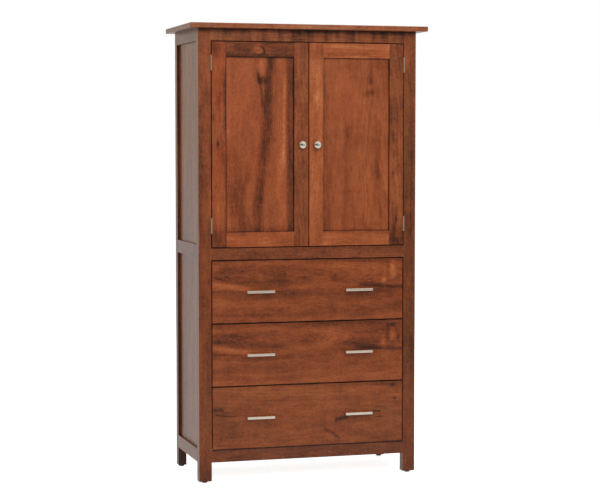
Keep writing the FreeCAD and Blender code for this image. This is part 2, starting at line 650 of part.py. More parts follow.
def tails(low):
    """The dovetails at the rear of the left side, spread evenly over the back's height."""
    span = (bottom_span(low)[1], box_span(low)[1])
    pitch = (span[1] - span[0]) / TAIL_COUNT
    wide = pitch * TAIL_SHARE / 2
    narrow = wide - DRAWER_BACK_THICKNESS / TAIL_SLOPE
    shapes = []
    for index in range(TAIL_COUNT):
        z = span[0] + (index + 0.5) * pitch
        x = DRAWER_SIDE_X[0]
        corners = [Vector(x, DRAWER_BACK_Y[1], z - wide), Vector(x, DRAWER_BACK_Y[1], z + wide),
                   Vector(x, DRAWER_BACK_Y[0], z + narrow), Vector(x, DRAWER_BACK_Y[0], z - narrow)]
        outline = Part.makePolygon(corners + corners[:1])
        shapes.append(Part.Face(outline).extrude(Vector(DRAWER_SIDE_THICKNESS, 0, 0)))
    return shapes


def drawer_back(low):
    """The back between and behind the sides, standing on the bottom, with pins between the tails."""
    x = (DRAWER_SIDE_X[0], -DRAWER_SIDE_X[0])
    board = block(x, DRAWER_BACK_Y, (bottom_span(low)[1], box_span(low)[1]))
    return board.cut(both_sides(tails(low)))


def drawer_side(low):
    """The left side, with its tongue, its tails and the groove for the bottom."""
    z = box_span(low)
    board = block(DRAWER_SIDE_X, (DRAWER_FRONT_Y[1], DRAWER_REAR), z).fuse(tongue(z))
    groove_x = (DRAWER_SIDE_X[1] - DRAWER_BOTTOM_GROOVE, DRAWER_SIDE_X[1])
    groove = block(groove_x, (DRAWER_FRONT_Y[1] - TONGUE_LENGTH, DRAWER_REAR), bottom_span(low))
    return board.cut([groove, drawer_back(low)])


def drawer_bottom(low):
    """A thin board slid in from the rear, under the back and into the front."""
    x = (DRAWER_SIDE_X[1] - DRAWER_BOTTOM_SEAT, DRAWER_BOTTOM_SEAT - DRAWER_SIDE_X[1])
    return block(x, (DRAWER_FRONT_Y[1] - DRAWER_BOTTOM_SEAT, DRAWER_REAR), bottom_span(low))


def drawer_front(low):
    """The front, with two dovetail slots open at the lower edge, a groove and holes for the pulls."""
    z = (low, low + DRAWER_FRONT_HEIGHT)
    board = block(grown(FRONT_OPENING_X, -DRAWER_GAP), DRAWER_FRONT_Y, z)
    board = eased(board, DRAWER_EDGE_RADIUS, "y", FRONT)
    groove_half = -DRAWER_SIDE_X[1] + DRAWER_BOTTOM_GROOVE
    groove_y = (DRAWER_FRONT_Y[1] - DRAWER_BOTTOM_GROOVE, DRAWER_FRONT_Y[1])
    groove = block((-groove_half, groove_half), groove_y, bottom_span(low))
    slots = both_sides([tongue((low, box_span(low)[1]))])
    return board.cut(slots + [groove] + both_sides(pull_screws(low)))


def pull_post_points(low):
    z = low + DRAWER_FRONT_HEIGHT / 2
    return [Vector(x, FRONT, z) for x in centred(-PULL_OFFSET, PULL_CENTRES)]


def pull_screws(low):
    length = DRAWER_FRONT_THICKNESS + MACHINE_SCREW_BITE
    to_back = Vector(0, DRAWER_FRONT_THICKNESS, 0)
    return [pan_screw(point + to_back, Vector(0, -1, 0), MACHINE_SCREW_RADIUS, length)
            for point in pull_post_points(low)]


def pull_parts(low):
    """The left pull: a bar with rounded front arrises, two posts and the screws that hold them."""
    bar_y = (FRONT - PULL_STANDOFF - PULL_THICKNESS, FRONT - PULL_STANDOFF)
    bar_z = centred(low + DRAWER_FRONT_HEIGHT / 2, PULL_HEIGHT)
    bar_x = grown(centred(-PULL_OFFSET, PULL_CENTRES), PULL_END)
    bar = eased(block(bar_x, bar_y, bar_z), PULL_EDGE_RADIUS, "y", bar_y[0])
    screws = pull_screws(low)
    posts = [rod(PULL_POST_DIAMETER / 2, point, Vector(0, -1, 0), PULL_STANDOFF).cut(screws)
             for point in pull_post_points(low)]
    return [bar] + posts + screws


# Slides and cleats

def channel(web_x, lip_x, height, z):
    """A slide member: a web against web_x and two flanges that reach to lip_x."""
    x = (min(web_x, lip_x), max(web_x, lip_x))
    inward = SLIDE_WALL if lip_x > web_x else -SLIDE_WALL
    hollow_x = (min(web_x + inward, lip_x), max(web_x + inward, lip_x))
    outer = block(x, SLIDE_Y, centred(z, height))
    return outer.cut(block(hollow_x, SLIDE_Y, centred(z, height - 2 * SLIDE_WALL)))


SLIDE_STEP = SLIDE_WALL + SLIDE_RUNNING_GAP
SLIDE_CASE_FACE = FRONT_POST_X[1]
SLIDE_LIP_X = SLIDE_CASE_FACE + SLIDE_THICKNESS - SLIDE_WALL - SLIDE_LIP_ROOM


def slide_height(low):
    return middle_of(box_span(low))


def case_member(low):
    return channel(SLIDE_CASE_FACE, SLIDE_LIP_X, SLIDE_HEIGHT, slide_height(low))


def middle_member(low):
    height = SLIDE_HEIGHT - 2 * SLIDE_STEP
    return channel(SLIDE_CASE_FACE + SLIDE_STEP, SLIDE_LIP_X, height, slide_height(low))


def drawer_member(low):
    web_x = SLIDE_CASE_FACE + SLIDE_THICKNESS
    lip_x = SLIDE_CASE_FACE + 2 * SLIDE_STEP
    return channel(web_x, lip_x, SLIDE_HEIGHT - 4 * SLIDE_STEP, slide_height(low))


def cleat(low):
    """A strip between the front and rear posts that carries one slide level with the front post's face."""
    x = (SIDE_RAIL_X[1], FRONT_POST_X[1])
    return block(x, SIDE_OPENING_Y, centred(slide_height(low), CLEAT_HEIGHT))


# All pieces, by node

def case_nodes(drawer_lows):
    """The pieces that stand still."""
    leaves = [frame_leaf(z) for z in HINGE_HEIGHTS]
    pins = [hinge_pin(z) for z in HINGE_HEIGHTS]
    glides = [glide(FRONT_POST_X, FRONT_POST_Y), glide(REAR_POST_X, REAR_POST_Y)]
    return {
        "top_board": [top_board()],
        "front_left_post": [front_post()],
        "front_right_post": [mirrored(front_post())],
        "rear_left_post": [rear_post()],
        "rear_right_post": [mirrored(rear_post())],
        "side_rails": both_sides([side_rail(z) for z in SIDE_RAILS_Z]),
        "side_panels": both_sides(side_panels()),
        "front_bottom_rail": [front_rail(BOTTOM_RAIL_Z)],
        "front_middle_rail": [front_rail(MIDDLE_RAIL_Z)],
        "front_top_rail": [front_rail(TOP_RAIL_Z).cut(both_sides([catch_screw()]))],
        "back_rails": [back_rail(z) for z in BACK_RAILS_Z],
        "back_panels": back_panels(),
        "foot_glides": both_sides(glides),
        "cupboard_floor": [cupboard_floor()],
        "adjustable_shelves": [shelf(row) for row in SHELF_PIN_HOLES],
        "shelf_pins": both_sides(shelf_pins()),
        "shelf_standards": both_sides([shelf_standard()]),
        "frame_hinge_leaves": both_sides(leaves),
        "hinge_pins": both_sides(pins),
        "door_catch": catch_parts(),
        "case_screws": both_sides(frame_leaf_screws() + [catch_screw()]),
        "slide_cleats": both_sides([cleat(low) for low in drawer_lows]),
        "slide_case_members": both_sides([case_member(low) for low in drawer_lows]),
    }


def left_door_pieces():
    leaves = [door_leaf(z) for z in HINGE_HEIGHTS]
    return {
        "hinge_stile": [hinge_stile()],
        "lock_stile": [lock_stile()],
        "top_rail": [door_top_rail()],
        "bottom_rail": [door_bottom_rail()],
        "panel": [door_panel()],
        "knob": [knob(), knob_screw()],
        "hinge_leaves": leaves,
        "fasteners": door_leaf_screws() + [strike_plate(), strike_screw()],
    }


def door_nodes():
    """Both doors, the right one a mirror image of the left."""
    nodes = {}
    for piece, solids in left_door_pieces().items():
        nodes["left_door_" + piece] = solids
        nodes["right_door_" + piece] = [mirrored(solid) for solid in solids]
    return nodes


def drawer_nodes(name, low):
    """One drawer with its own slide members, and the middle members between it and the case."""
    return {
        name + "_drawer_front": [drawer_front(low)],
        name + "_drawer_sides": both_sides([drawer_side(low)]),
        name + "_drawer_back": [drawer_back(low)],
        name + "_drawer_bottom": [drawer_bottom(low)],
        name + "_drawer_pulls": both_sides(pull_parts(low)),
        name + "_drawer_slide_members": both_sides([drawer_member(low)]),
        name + "_slide_middle_members": both_sides([middle_member(low)]),
    }


def all_nodes():
    first = BOTTOM_RAIL_Z[1] + DRAWER_GAP
    lows = {name: first + index * DRAWER_PITCH for index, name in enumerate(DRAWER_NAMES)}
    nodes = case_nodes(list(lows.values()))
    nodes.update(door_nodes())
    for name, low in lows.items():
        nodes.update(drawer_nodes(name, low))
    return nodes


os.makedirs("parts", exist_ok=True)
for node, solids in all_nodes().items():
    shape = solids[0] if len(solids) == 1 else Part.makeCompound(solids)
    shape.exportStep("parts/" + node + ".step")
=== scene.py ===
# %% [markdown]
# # Dressing an armoire
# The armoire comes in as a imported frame: every board, hinge leaf and screw is already a solid in its
# place, with its arrises eased. What is left is how it looks. Pictures of wood could be wrapped round the
# boards, but they stretch and repeat, so this lesson builds wood, metal and plastic out of shader nodes,
# and then lights and frames the piece. All lengths are metres, with +Z up and the front facing -Y.

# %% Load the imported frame
import math

import bpy
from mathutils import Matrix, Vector


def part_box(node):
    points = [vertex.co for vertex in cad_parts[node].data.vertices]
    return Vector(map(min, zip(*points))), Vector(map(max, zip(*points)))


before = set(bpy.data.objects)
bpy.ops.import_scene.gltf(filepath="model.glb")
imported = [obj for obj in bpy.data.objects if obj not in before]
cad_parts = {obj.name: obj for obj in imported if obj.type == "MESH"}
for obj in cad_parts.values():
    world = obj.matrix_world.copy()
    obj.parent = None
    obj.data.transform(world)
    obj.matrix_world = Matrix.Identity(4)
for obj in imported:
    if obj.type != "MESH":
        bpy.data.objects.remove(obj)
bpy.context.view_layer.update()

# %% [markdown]
# ## Writing shader maths as sums
# A wood shader is mostly arithmetic on distances, and hundreds of Math nodes are hard to read one by
# one. A small class that stands for a socket and knows +, -, * and / keeps the formulas readable: each
# operator adds one Math node.

# %% A socket that can be used in sums
class Value:
    def __init__(self, nodes, socket):
        self.nodes = nodes
        self.socket = socket

    def __add__(self, other):
        return self.nodes.sum("ADD", self, other)

    def __sub__(self, other):
        return self.nodes.sum("SUBTRACT", self, other)

    def __rsub__(self, other):
        return self.nodes.sum("SUBTRACT", other, self)

    def __mul__(self, other):
        return self.nodes.sum("MULTIPLY", self, other)

    def __truediv__(self, other):
        return self.nodes.sum("DIVIDE", self, other)

    def __rtruediv__(self, other):
        return self.nodes.sum("DIVIDE", other, self)

    __radd__ = __add__
    __rmul__ = __mul__

    def smooth(self, low, high):
        """0 below low, 1 above high, and a smooth rise between them."""
        return self.nodes.add("MapRange", {"interpolation_type": "SMOOTHSTEP"},
                              {"Value": self, "From Min": low, "From Max": high})


# %% [markdown]
# ## One way to add a node
# Every other node comes from the one method `add`, which sets the node's own settings first and then its
# sockets, because some settings change which sockets a node has. Ramps and curves hold lists of points,
# so two helpers fill those in.

# %% A node tree and its helpers
MIX_SOCKETS = (0, 6, 7)
MIX_COLOUR_OUT = 2


class Nodes:
    def __init__(self, tree):
        self.tree = tree
        tree.nodes.clear()

    def feed(self, socket, value):
        if isinstance(value, Value):
            self.tree.links.new(value.socket, socket)
        else:
            socket.default_value = value

    def add(self, kind, settings=None, sockets=None, out=0):
        node = self.tree.nodes.new("ShaderNode" + kind)
        for key, value in (settings or {}).items():
            if key == "stops":
                spread_stops(node.color_ramp, value)
            elif key == "points":
                bend_curve(node.mapping, value)
            else:
                setattr(node, key, value)
        for key, value in (sockets or {}).items():
            self.feed(node.inputs[key], value)
        return Value(self, node.outputs[out]) if len(node.outputs) else node

    def outputs(self, kind, sockets=None):
        """All the outputs of a node, by their names."""
        node = self.add(kind, sockets=sockets).socket.node
        return {output.name: Value(self, output) for output in node.outputs}

    def sum(self, operation, *values):
        return self.add("Math", {"operation": operation}, dict(enumerate(values)))

    def mix(self, factor, first, second, blend="MIX"):
        """A mix of two colours: the Mix node has its own sockets for each kind of data."""
        settings = {"data_type": "RGBA", "blend_type": blend}
        sockets = dict(zip(MIX_SOCKETS, (factor, first, second)))
        return self.add("Mix", settings, sockets, out=MIX_COLOUR_OUT)


def spread_stops(ramp, stops):
    while len(ramp.elements) < len(stops):
        ramp.elements.new(0.5)
    for element, (place, colour) in zip(ramp.elements, stops):
        element.position = place
        element.color = colour


def bend_curve(mapping, points):
    curve = mapping.curves[0]
    while len(curve.points) < len(points):
        curve.points.new(0.5, 0.5)
    for point, place in zip(curve.points, points):
        point.location = place
    mapping.update()


def new_material(name):
    material = bpy.data.materials.new(name)
    material.use_nodes = True
    return material, Nodes(material.node_tree)


# %% [markdown]
# ## A board out of a log
# A plain-sawn board shows arches because a flat cut goes through cone-shaped growth rings. A flat drawing
# of grain can't do that on a face and an edge at once, so the wood here is a solid texture: every point
# knows its place along the grain, across the board and through it. Each board also has its own noises,
# drawn out along the grain, and its own seed, so no two boards repeat.

# %% Where a point lies in its board
AXES = "xyz"
ALONG, ACROSS = 0, 1
NOISE_MIDDLE = 0.5
TRAITS = {
    # blobs a metre along, across and through the board, then the seed's step, detail and roughness
    "sway": ((1.8, 4.5, 4.5), 3.1, 4.0, 0.5),
    "ragged": ((16.0, 80.0, 80.0), 1.7, 4.0, 0.6),
    "mottle": ((9.0, 30.0, 30.0), 5.3, 4.0, 0.6),
    "speckle": ((90.0, 110.0, 110.0), 7.9, 3.0, 0.6),
    "blotch": ((2.4, 6.0, 6.0), 2.2, 2.0, 0.5),
    "curl": ((42.0, 9.0, 9.0), 2.9, 2.0, 0.5),
    "fleck": ((22.0, 90.0, 90.0), 8.9, 3.0, 0.5),
    "rub": ((9.0, 9.0, 9.0), 4.1, 3.0, 0.5),
    "tint_and_sheen_mask": ((3.0, 8.0, 8.0), 6.7, 2.0, 0.5),
    "pit": ((45.0, 620.0, 620.0), 1.3, 2.0, 0.5),
}


class Board:
    """The places of a point along the grain, across the board and through its thickness."""

    def __init__(self, nodes, node, grain, across, seed):
        self.nodes = nodes
        self.seed = seed
        low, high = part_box(node)
        centre = (low + high) / 2
        through = next(axis for axis in AXES if axis not in (grain, across))
        self.names = [axis.upper() for axis in (grain, across, through)]
        order = [AXES.index(axis) for axis in (grain, across, through)]
        self.middle = [centre[i] for i in order]
        self.low = [low[i] for i in order]
        self.high = [high[i] for i in order]
        place = nodes.outputs("SeparateXYZ", {"Vector": nodes.add("TexCoord", out="Object")})
        self.places = [place[name] for name in self.names]
        self.along, self.across, self.through = self.places

    def noise(self, scales, shift, detail, roughness=0.5, out=0):
        along, across, through = [place * scale for place, scale in zip(self.places, scales)]
        vector = self.nodes.add("CombineXYZ", sockets={0: along + shift, 1: across, 2: through + shift})
        return self.nodes.add("TexNoise", sockets={
            "Vector": vector, "Scale": 1.0, "Detail": detail, "Roughness": roughness}, out=out)

    def trait(self, name, out=0):
        """One of the board's own noises, from 0 to 1."""
        scales, step, detail, roughness = TRAITS[name]
        return self.noise(scales, self.seed * step, detail, roughness, out)

    def swing(self, name):
        """The same noise about 0, for what goes both ways."""
        return self.trait(name) - NOISE_MIDDLE


# %% [markdown]
# ## Knots
# A knot is the foot of a branch: a small dark disc with a darker rim, and the grain swings round it. It
# could be a picture laid on the board, but then the grain would run straight through. Here the knot
# pushes the place of each point sideways before the rings are drawn, so the rings part round it.

# %% Knots
SWING_REACH = (5, 3)
SWING_SHARE = 0.8
SWIRL_SCALE, SWIRL_STEP, SWIRL_DETAIL = 0.9, 37.0, 3.0
SWIRL_ALONG = 1.4
RIM_RADIUS, RIM_SHARPNESS, RIM_FLATNESS = 0.95, 6.0, 0.6
CORE_REACH = (0.7, 0.6)
HALO_REACH = (4.0, 1.7)
RIM_DEPTH, CORE_DEPTH, HALO_DEPTH = 0.20, 0.10, 0.17


def near(nodes, off_along, off_across):
    """1 at a place and falling to 0 around it, from two offsets measured in its own lengths."""
    reach = off_along * off_along + off_across * off_across
    return nodes.sum("EXPONENT", 0 - reach)


def knot_spot(nodes, off_along, off_across, size, reach):
    """1 in the middle of a knot and 0 past its reach, which counts in sizes of the knot."""
    return near(nodes, off_along / (size * reach[0]), off_across / (size * reach[1]))


def knot_marks(board, bent, ragged, knots):
    """Bends the grain round each knot (along, across, size), and gives how dark the knots are."""
    nodes = board.nodes
    dark = 0.0
    for place_along, place_across, size in knots:
        off_along = board.along - place_along
        off_across = board.across - place_across
        bent = bent - off_across * knot_spot(nodes, off_along, off_across, size, SWING_REACH) * SWING_SHARE
        swirl = board.noise([SWIRL_SCALE / size] * 3, place_along * SWIRL_STEP, SWIRL_DETAIL) - NOISE_MIDDLE
        off_along = off_along + swirl * (size * SWIRL_ALONG)
        off_across = off_across + (ragged + swirl) * size
        away = nodes.sum("SQRT", off_along * off_along * (RIM_FLATNESS / size ** 2)
                         + off_across * off_across / size ** 2) - RIM_RADIUS
        rim = nodes.sum("EXPONENT", 0 - away * away * RIM_SHARPNESS)
        core, halo = [knot_spot(nodes, off_along, off_across, size, reach)
                      for reach in (CORE_REACH, HALO_REACH)]
        dark = dark + rim * RIM_DEPTH + core * CORE_DEPTH + halo * HALO_DEPTH
    return bent, dark


# %% [markdown]
# ## Streaks and patches
# Old wood has dark streaks where it took up minerals, and cloudy places where the stain sank in or stayed
# thin. Noise alone puts them anywhere. A streak here is a short list of places, joined by a curve node,
# so it can follow the board's own figure; a patch is one place with a length and a breadth. Both have
# torn edges, and a depth below 0 makes them lighter. Some of them lay painted shade and painted light
# instead, such as the shadow of the top's overhang.

# %% Streaks and patches
LEAST_BREADTH = 0.001
STREAK_TATTER, PATCH_TATTER = 0.4, 1.2
STREAK_EDGE = 3.0
FADE_IN, FADE_OUT = (-0.02, 0.14), (0.84, 1.02)


def streak_marks(board, ragged, streaks):
    """Streaks through places (along, across) in rising order, their breadths to either side, a depth."""
    nodes = board.nodes
    dark = 0.0
    for path, (below, above), depth in streaks:
        start, end = path[0][0], path[-1][0]
        lowest = min(place[1] for place in path)
        breadth = max(max(place[1] for place in path) - lowest, LEAST_BREADTH)
        share = (board.along - start) / (end - start)
        points = [((place[0] - start) / (end - start), (place[1] - lowest) / breadth) for place in path]
        centre = nodes.add("FloatCurve", {"points": points}, {"Value": share}) * breadth + lowest
        offset = board.across + ragged * ((below + above) * STREAK_TATTER) - centre
        reach = nodes.sum("MAXIMUM", offset / above, offset / -below)
        fade = share.smooth(*FADE_IN) * (1 - share.smooth(*FADE_OUT))
        body = nodes.sum("EXPONENT", 0 - nodes.sum("POWER", reach, STREAK_EDGE))
        dark = dark + body * fade * depth
    return dark


def patch_marks(board, mottle, patches):
    """Cloudy places: along, across, length, breadth, depth."""
    dark = 0.0
    for place_along, place_across, length, breadth, depth in patches:
        off_along = (board.along - place_along) / length + mottle * PATCH_TATTER
        off_across = (board.across - place_across) / breadth + mottle * PATCH_TATTER
        dark = dark + near(board.nodes, off_along, off_across) * depth
    return dark


# %% [markdown]
# ## Growth rings
# Every year ends in a thin dark line of late wood, and good and lean years come in spells. A Wave texture
# makes even rings that look machined. The distance from the middle of the log, counted in years, gives
# both: its fraction places the line, and noise along the same count makes the spells. The log wanders
# and leans against the board, which opens the arches.

# %% Growth rings
LATE_WOOD = ((0.0, (0, 0, 0, 1)), (0.40, (0.15, 0.15, 0.15, 1)), (0.78, (1, 1, 1, 1)),
             (0.88, (0.9, 0.9, 0.9, 1)), (1.0, (0, 0, 0, 1)))
YEAR_TATTER = 0.45
SPELL_YEARS, SPELL_ALONG, SPELL_STEP = 0.16, 0.35, 2.3


def growth_rings(board, bent, sway, ragged, pith, lean, ring):
    """The dark line that ends each year, and the slow change from good years to lean ones."""
    nodes = board.nodes
    side = bent - (board.middle[1] + pith[0])
    leaned = (board.along - board.middle[0]) * lean
    deep = board.through + sway + leaned + (pith[1] - board.middle[2])
    year = nodes.sum("SQRT", side * side + deep * deep) / ring + ragged * YEAR_TATTER
    line = nodes.add("ValToRGB", {"stops": LATE_WOOD}, {"Fac": nodes.sum("FRACT", year)})
    place = nodes.add("CombineXYZ", sockets={
        0: year * SPELL_YEARS, 1: board.along * SPELL_ALONG, 2: board.seed * SPELL_STEP})
    spell = nodes.add("TexNoise", sockets={"Vector": place, "Scale": 1.0, "Detail": 2.0}) - NOISE_MIDDLE
    return line, spell


# %% [markdown]
# ## Edges and corners
# Stain gathers in the corner between a panel and its frame and on sawn edges, and lacquer rubs thin on an
# arris. The corners and the sawn edges that line a gap also get painted shade, so they are darker than stain
# alone would make them. Blender's Pointiness could find edges, but it depends on the mesh and needs a dense
# one. Most boards are plain boxes, so the distance to the faces of a board's box is simple arithmetic and
# always sharp.

# %% Edges and corners
FACE_TURN = (0.6, 0.95)


def edge_distance(board):
    """How far a point is from the nearest edge of its board: the second smallest of three distances."""
    nodes = board.nodes
    a, b, c = [nodes.sum("MINIMUM", place - low, high - place)
               for place, low, high in zip(board.places, board.low, board.high)]
    pairs = [nodes.sum("MAXIMUM", *pair) for pair in ((a, b), (b, c), (a, c))]
    return nodes.sum("MINIMUM", pairs[0], nodes.sum("MINIMUM", pairs[1], pairs[2]))


def corner_distance(board, opening):
    """How far a point of a panel is from the frame round it: opening is its low and high corner."""
    nodes = board.nodes
    low, high = opening
    along = nodes.sum("MINIMUM", board.along - low[0], high[0] - board.along)
    across = nodes.sum("MINIMUM", board.across - low[1], high[1] - board.across)
    return nodes.sum("MINIMUM", along, across)


def facing(board, which):
    """1 on faces that look along the grain, or across it."""
    nodes = board.nodes
    normal = nodes.outputs("SeparateXYZ", {"Vector": nodes.add("TexCoord", out="Normal")})
    return nodes.sum("ABSOLUTE", normal[board.names[which]]).smooth(*FACE_TURN)


# %% [markdown]
# ## Stain
# The wood is close-grained and was stained red-brown, so it went cloudy, and each board took the stain up
# in its own way. Every effect could mix in a colour of its own, but many mixes soon turn muddy. Here they
# all raise or lower one number, the stain's level, and a colour ramp turns that into brown. A tint over
# it makes single boards greyer or redder; on the top and the lower front rails it is a painted sheen that
# makes them paler and bluer.

# %% Colours of the stain
def srgb(red, green, blue):
    """A colour as it looks on a screen, 0 to 255, as the linear colour that a shader wants."""
    def linear(level):
        level /= 255
        return level / 12.92 if level <= 0.04045 else ((level + 0.055) / 1.055) ** 2.4
    return linear(red), linear(green), linear(blue), 1.0


STAIN = ((0.0, srgb(38, 18, 9)), (0.26, srgb(86, 41, 20)), (0.5, srgb(136, 67, 32)),
         (0.75, srgb(168, 90, 47)), (1.0, srgb(200, 126, 80)))
DULL = (0.76, 0.90, 1.0, 1.0)
RUSSET = (1.0, 0.86, 0.74, 1.0)
EMBER = (1.0, 0.80, 0.55, 1.0)
# These two tints raise green and blue over the stain: a painted sheen, paler and bluer.
PAINTED_SHEEN = (0.97, 1.25, 1.75, 1.0)
PAINTED_SHEEN_STRONG = (0.97, 1.36, 2.1, 1.0)
PORE = (0.42, 0.36, 0.34, 1.0)


# %% What one board is like
class Sawn:
    """How a board was sawn, how it took its stain, and what painted sheen and shade it gets. Each board
    changes what it needs.
    """
    tone = 0.0           # lighter or darker than the rest
    pith = (0.0, 0.12)   # where the middle of the log lies, across the board and behind it
    lean = 0.04          # how much the log leans against the board
    ring = 0.006         # a year's growth
    drift = 0.05         # how far the log wanders
    figure = 1.0         # how strongly the rings show
    cloud = 1.0          # how cloudy the stain went
    ripple = 0.18        # bars across the grain
    grain_dots = 0.42    # fine speckle
    # The second colour is a tint on most boards, and a painted sheen, paler and bluer, on the top and the
    # lower front rails.
    tint = DULL          # a second colour over the stain
    tinted = 0.6         # and how much of it
    knots = ()
    streaks = ()
    patches = ()
    # Darker sawn edges and arrises are stain, and painted shade where they line a gap between parts.
    edges = 0.0          # how much darker the sawn edges are
    opening = None       # the hole in the frame, for a panel
    stain = STAIN        # the colours, from dark to light
    gloss = 0.36         # the roughness of the lacquer

    def __init__(self, **changes):
        for name, value in changes.items():
            if not hasattr(self, name):
                raise AttributeError("a board has no " + name)
            setattr(self, name, value)


# %% The stain's level from the grain
MIDDLE_LEVEL = 0.58
SPELL_DEPTH, LINE_DEPTH, RAGGED_DEPTH = 0.55, 0.17, 0.22
LINE_LEAST = 0.45
MOTTLE_DEPTH, BLOTCH_DEPTH, FLECK_DEPTH = 0.60, 0.44, 0.12
FLECK_RANGE = (0.60, 0.74)


def grain_level(board, sawn, ragged):
    """The level that rings, marks and cloudiness give, and the lines of the years for the bump."""
    sway = board.nodes.outputs("SeparateColor", {"Color": board.trait("sway", out="Color")})
    sway_across, sway_through = [(sway[part] - NOISE_MIDDLE) * sawn.drift for part in ("Red", "Green")]
    mottle = board.swing("mottle")
    bent, dark = knot_marks(board, board.across + sway_across, ragged, sawn.knots)
    dark = dark + streak_marks(board, ragged, sawn.streaks) + patch_marks(board, mottle, sawn.patches)
    line, spell = growth_rings(board, bent, sway_through, ragged, sawn.pith, sawn.lean, sawn.ring)

    level = spell * (SPELL_DEPTH * sawn.figure)
    level = level - line * (spell + LINE_LEAST) * (LINE_DEPTH * sawn.figure)
    level = level + ragged * (RAGGED_DEPTH * sawn.figure)
    level = level + mottle * (MOTTLE_DEPTH * sawn.cloud)
    level = level + board.swing("speckle") * sawn.grain_dots
    level = level + board.swing("blotch") * (BLOTCH_DEPTH * sawn.cloud)
    level = level + board.swing("curl") * (sawn.ripple * sawn.cloud)
    level = level - board.trait("fleck").smooth(*FLECK_RANGE) * (FLECK_DEPTH * sawn.cloud)
    return level + (MIDDLE_LEVEL + sawn.tone) - dark, line


# %% The stain's level at edges
END_GRAIN_DEPTH = 0.14
CORNER_REACH, CORNER_STAIN_AND_SHADE_DEPTH, CORNER_CLEAN = (0.0005, 0.006), 0.48, 0.04
ARRIS_REACH, ARRIS_SHARE = (0.0008, 0.0032), 0.55
WEAR_RANGE, WEAR_LIFT = (0.50, 0.68), 0.12


def worn_level(board, sawn, level):
    """The level with end grain, rubbed arrises, and darker sawn edges and panel corners, which are stain and
    painted shade together; and how much is rubbed.
    """
    level = level - facing(board, ALONG) * END_GRAIN_DEPTH - facing(board, ACROSS) * sawn.edges
    rub = board.trait("rub")
    if sawn.opening:
        # Darker in a panel's corner with its frame: stain gathered there, and painted shade.
        corner_stain_and_shade = 1 - corner_distance(board, sawn.opening).smooth(*CORNER_REACH)
        level = level - corner_stain_and_shade * (rub * CORNER_STAIN_AND_SHADE_DEPTH - CORNER_CLEAN)
    arris = 1 - edge_distance(board).smooth(*ARRIS_REACH)
    wear = arris * rub.smooth(*WEAR_RANGE)
    return level + wear * WEAR_LIFT - arris * (sawn.edges * ARRIS_SHARE), wear


# %% [markdown]
# ## Lacquer
# Over the stain lies a satin lacquer. It fills most of the pores, so the grain is felt only a little, and
# it gives a soft sheen over the matt wood. One rough surface would look dusty and one glossy surface
# like plastic, so the shader has a dull base under a thin, smoother coat.

# %% The whole finish
TINT_AND_SHEEN_RANGE = (0.25, 0.75)
PIT_RANGE, PIT_DARKNESS = (0.55, 0.72), 0.2
RAGGED_HEIGHT, PIT_HEIGHT, LINE_HEIGHT = 0.5, 0.35, 0.15
RAGGED_ROUGHNESS, PIT_ROUGHNESS, WEAR_ROUGHNESS = 0.12, 0.08, 0.08


def wood(node, grain, across, seed, **changes):
    """A lacquered board: which axes its grain and its breadth follow, and the seed of its log."""
    sawn = Sawn(**changes)
    material, nodes = new_material("wood_" + node)
    board = Board(nodes, node, grain, across, seed)
    ragged = board.swing("ragged")
    level, line = grain_level(board, sawn, ragged)
    level, wear = worn_level(board, sawn, level)
    # These clouds carry the second colour: a tint on most boards, a painted sheen on a few.
    tint_and_sheen_mask = board.trait("tint_and_sheen_mask").smooth(*TINT_AND_SHEEN_RANGE)
    pit = board.trait("pit").smooth(*PIT_RANGE)
    colour = nodes.add("ValToRGB", {"stops": sawn.stain}, {"Fac": level})
    colour = nodes.mix(tint_and_sheen_mask * sawn.tinted, colour, sawn.tint, blend="MULTIPLY")
    colour = nodes.mix(pit * PIT_DARKNESS, colour, PORE, blend="MULTIPLY")
    height = ragged * RAGGED_HEIGHT - pit * PIT_HEIGHT - line * LINE_HEIGHT
    bump = nodes.add("Bump", sockets={"Strength": 0.18, "Distance": 0.0006, "Height": height})
    roughness = ragged * RAGGED_ROUGHNESS + pit * PIT_ROUGHNESS + wear * WEAR_ROUGHNESS + sawn.gloss
    shader = nodes.add("BsdfPrincipled", sockets={
        "Base Color": colour, "Roughness": roughness, "Normal": bump,
        "Specular IOR Level": 0.17, "Coat Weight": 0.28, "Coat Roughness": 0.22})
    nodes.add("OutputMaterial", sockets={"Surface": shader})
    return material


# %% [markdown]
# ## The case
# Posts and panels run their grain upright, rails and the top run it lengthways, as a joiner would lay
# them so that the case can swell and shrink. One material for all would join the boards into one block,
# so each has its own log and tone. The posts are dark. The top gets a painted sheen, paler and bluer,
# which shows most on its front edge; the front posts get painted light, lighter high up and darker at
# the foot; and a painted shadow of the top's overhang lies along the rails under it and the posts' tops.

# %% Top and posts
def dress(node, material):
    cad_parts[node].material_slots[0].material = material


def stained(node, grain, across, seed, **changes):
    dress(node, wood(node, grain, across, seed, **changes))


# The top's paler, bluer clouds are a painted sheen, which shows most on its front edge.
stained("top_board", "x", "y", 1.3, tone=0.085, tint=PAINTED_SHEEN_STRONG, tinted=1.7, pith=(0.02, 0.3), lean=0.03,
        patches=[(0.19, -0.2325, 0.012, 0.03, 0.14), (-0.46, -0.2, 0.12, 0.3, 0.06)])
# The left post is darker at the foot and lighter high up, painted shade and light as the light from above
# falls off; the narrow dark band at its top is a painted shadow of the top's overhang.
stained("front_left_post", "z", "x", 2.1, tone=-0.12, figure=0.6, cloud=0.8, pith=(0.03, 0.1), lean=0.02,
        patches=[(0.02, -0.43, 0.07, 0.06, 0.09), (1.68, -0.43, 0.20, 0.06, -0.17),
                 (1.809, -0.43, 0.012, 0.10, 0.34)])
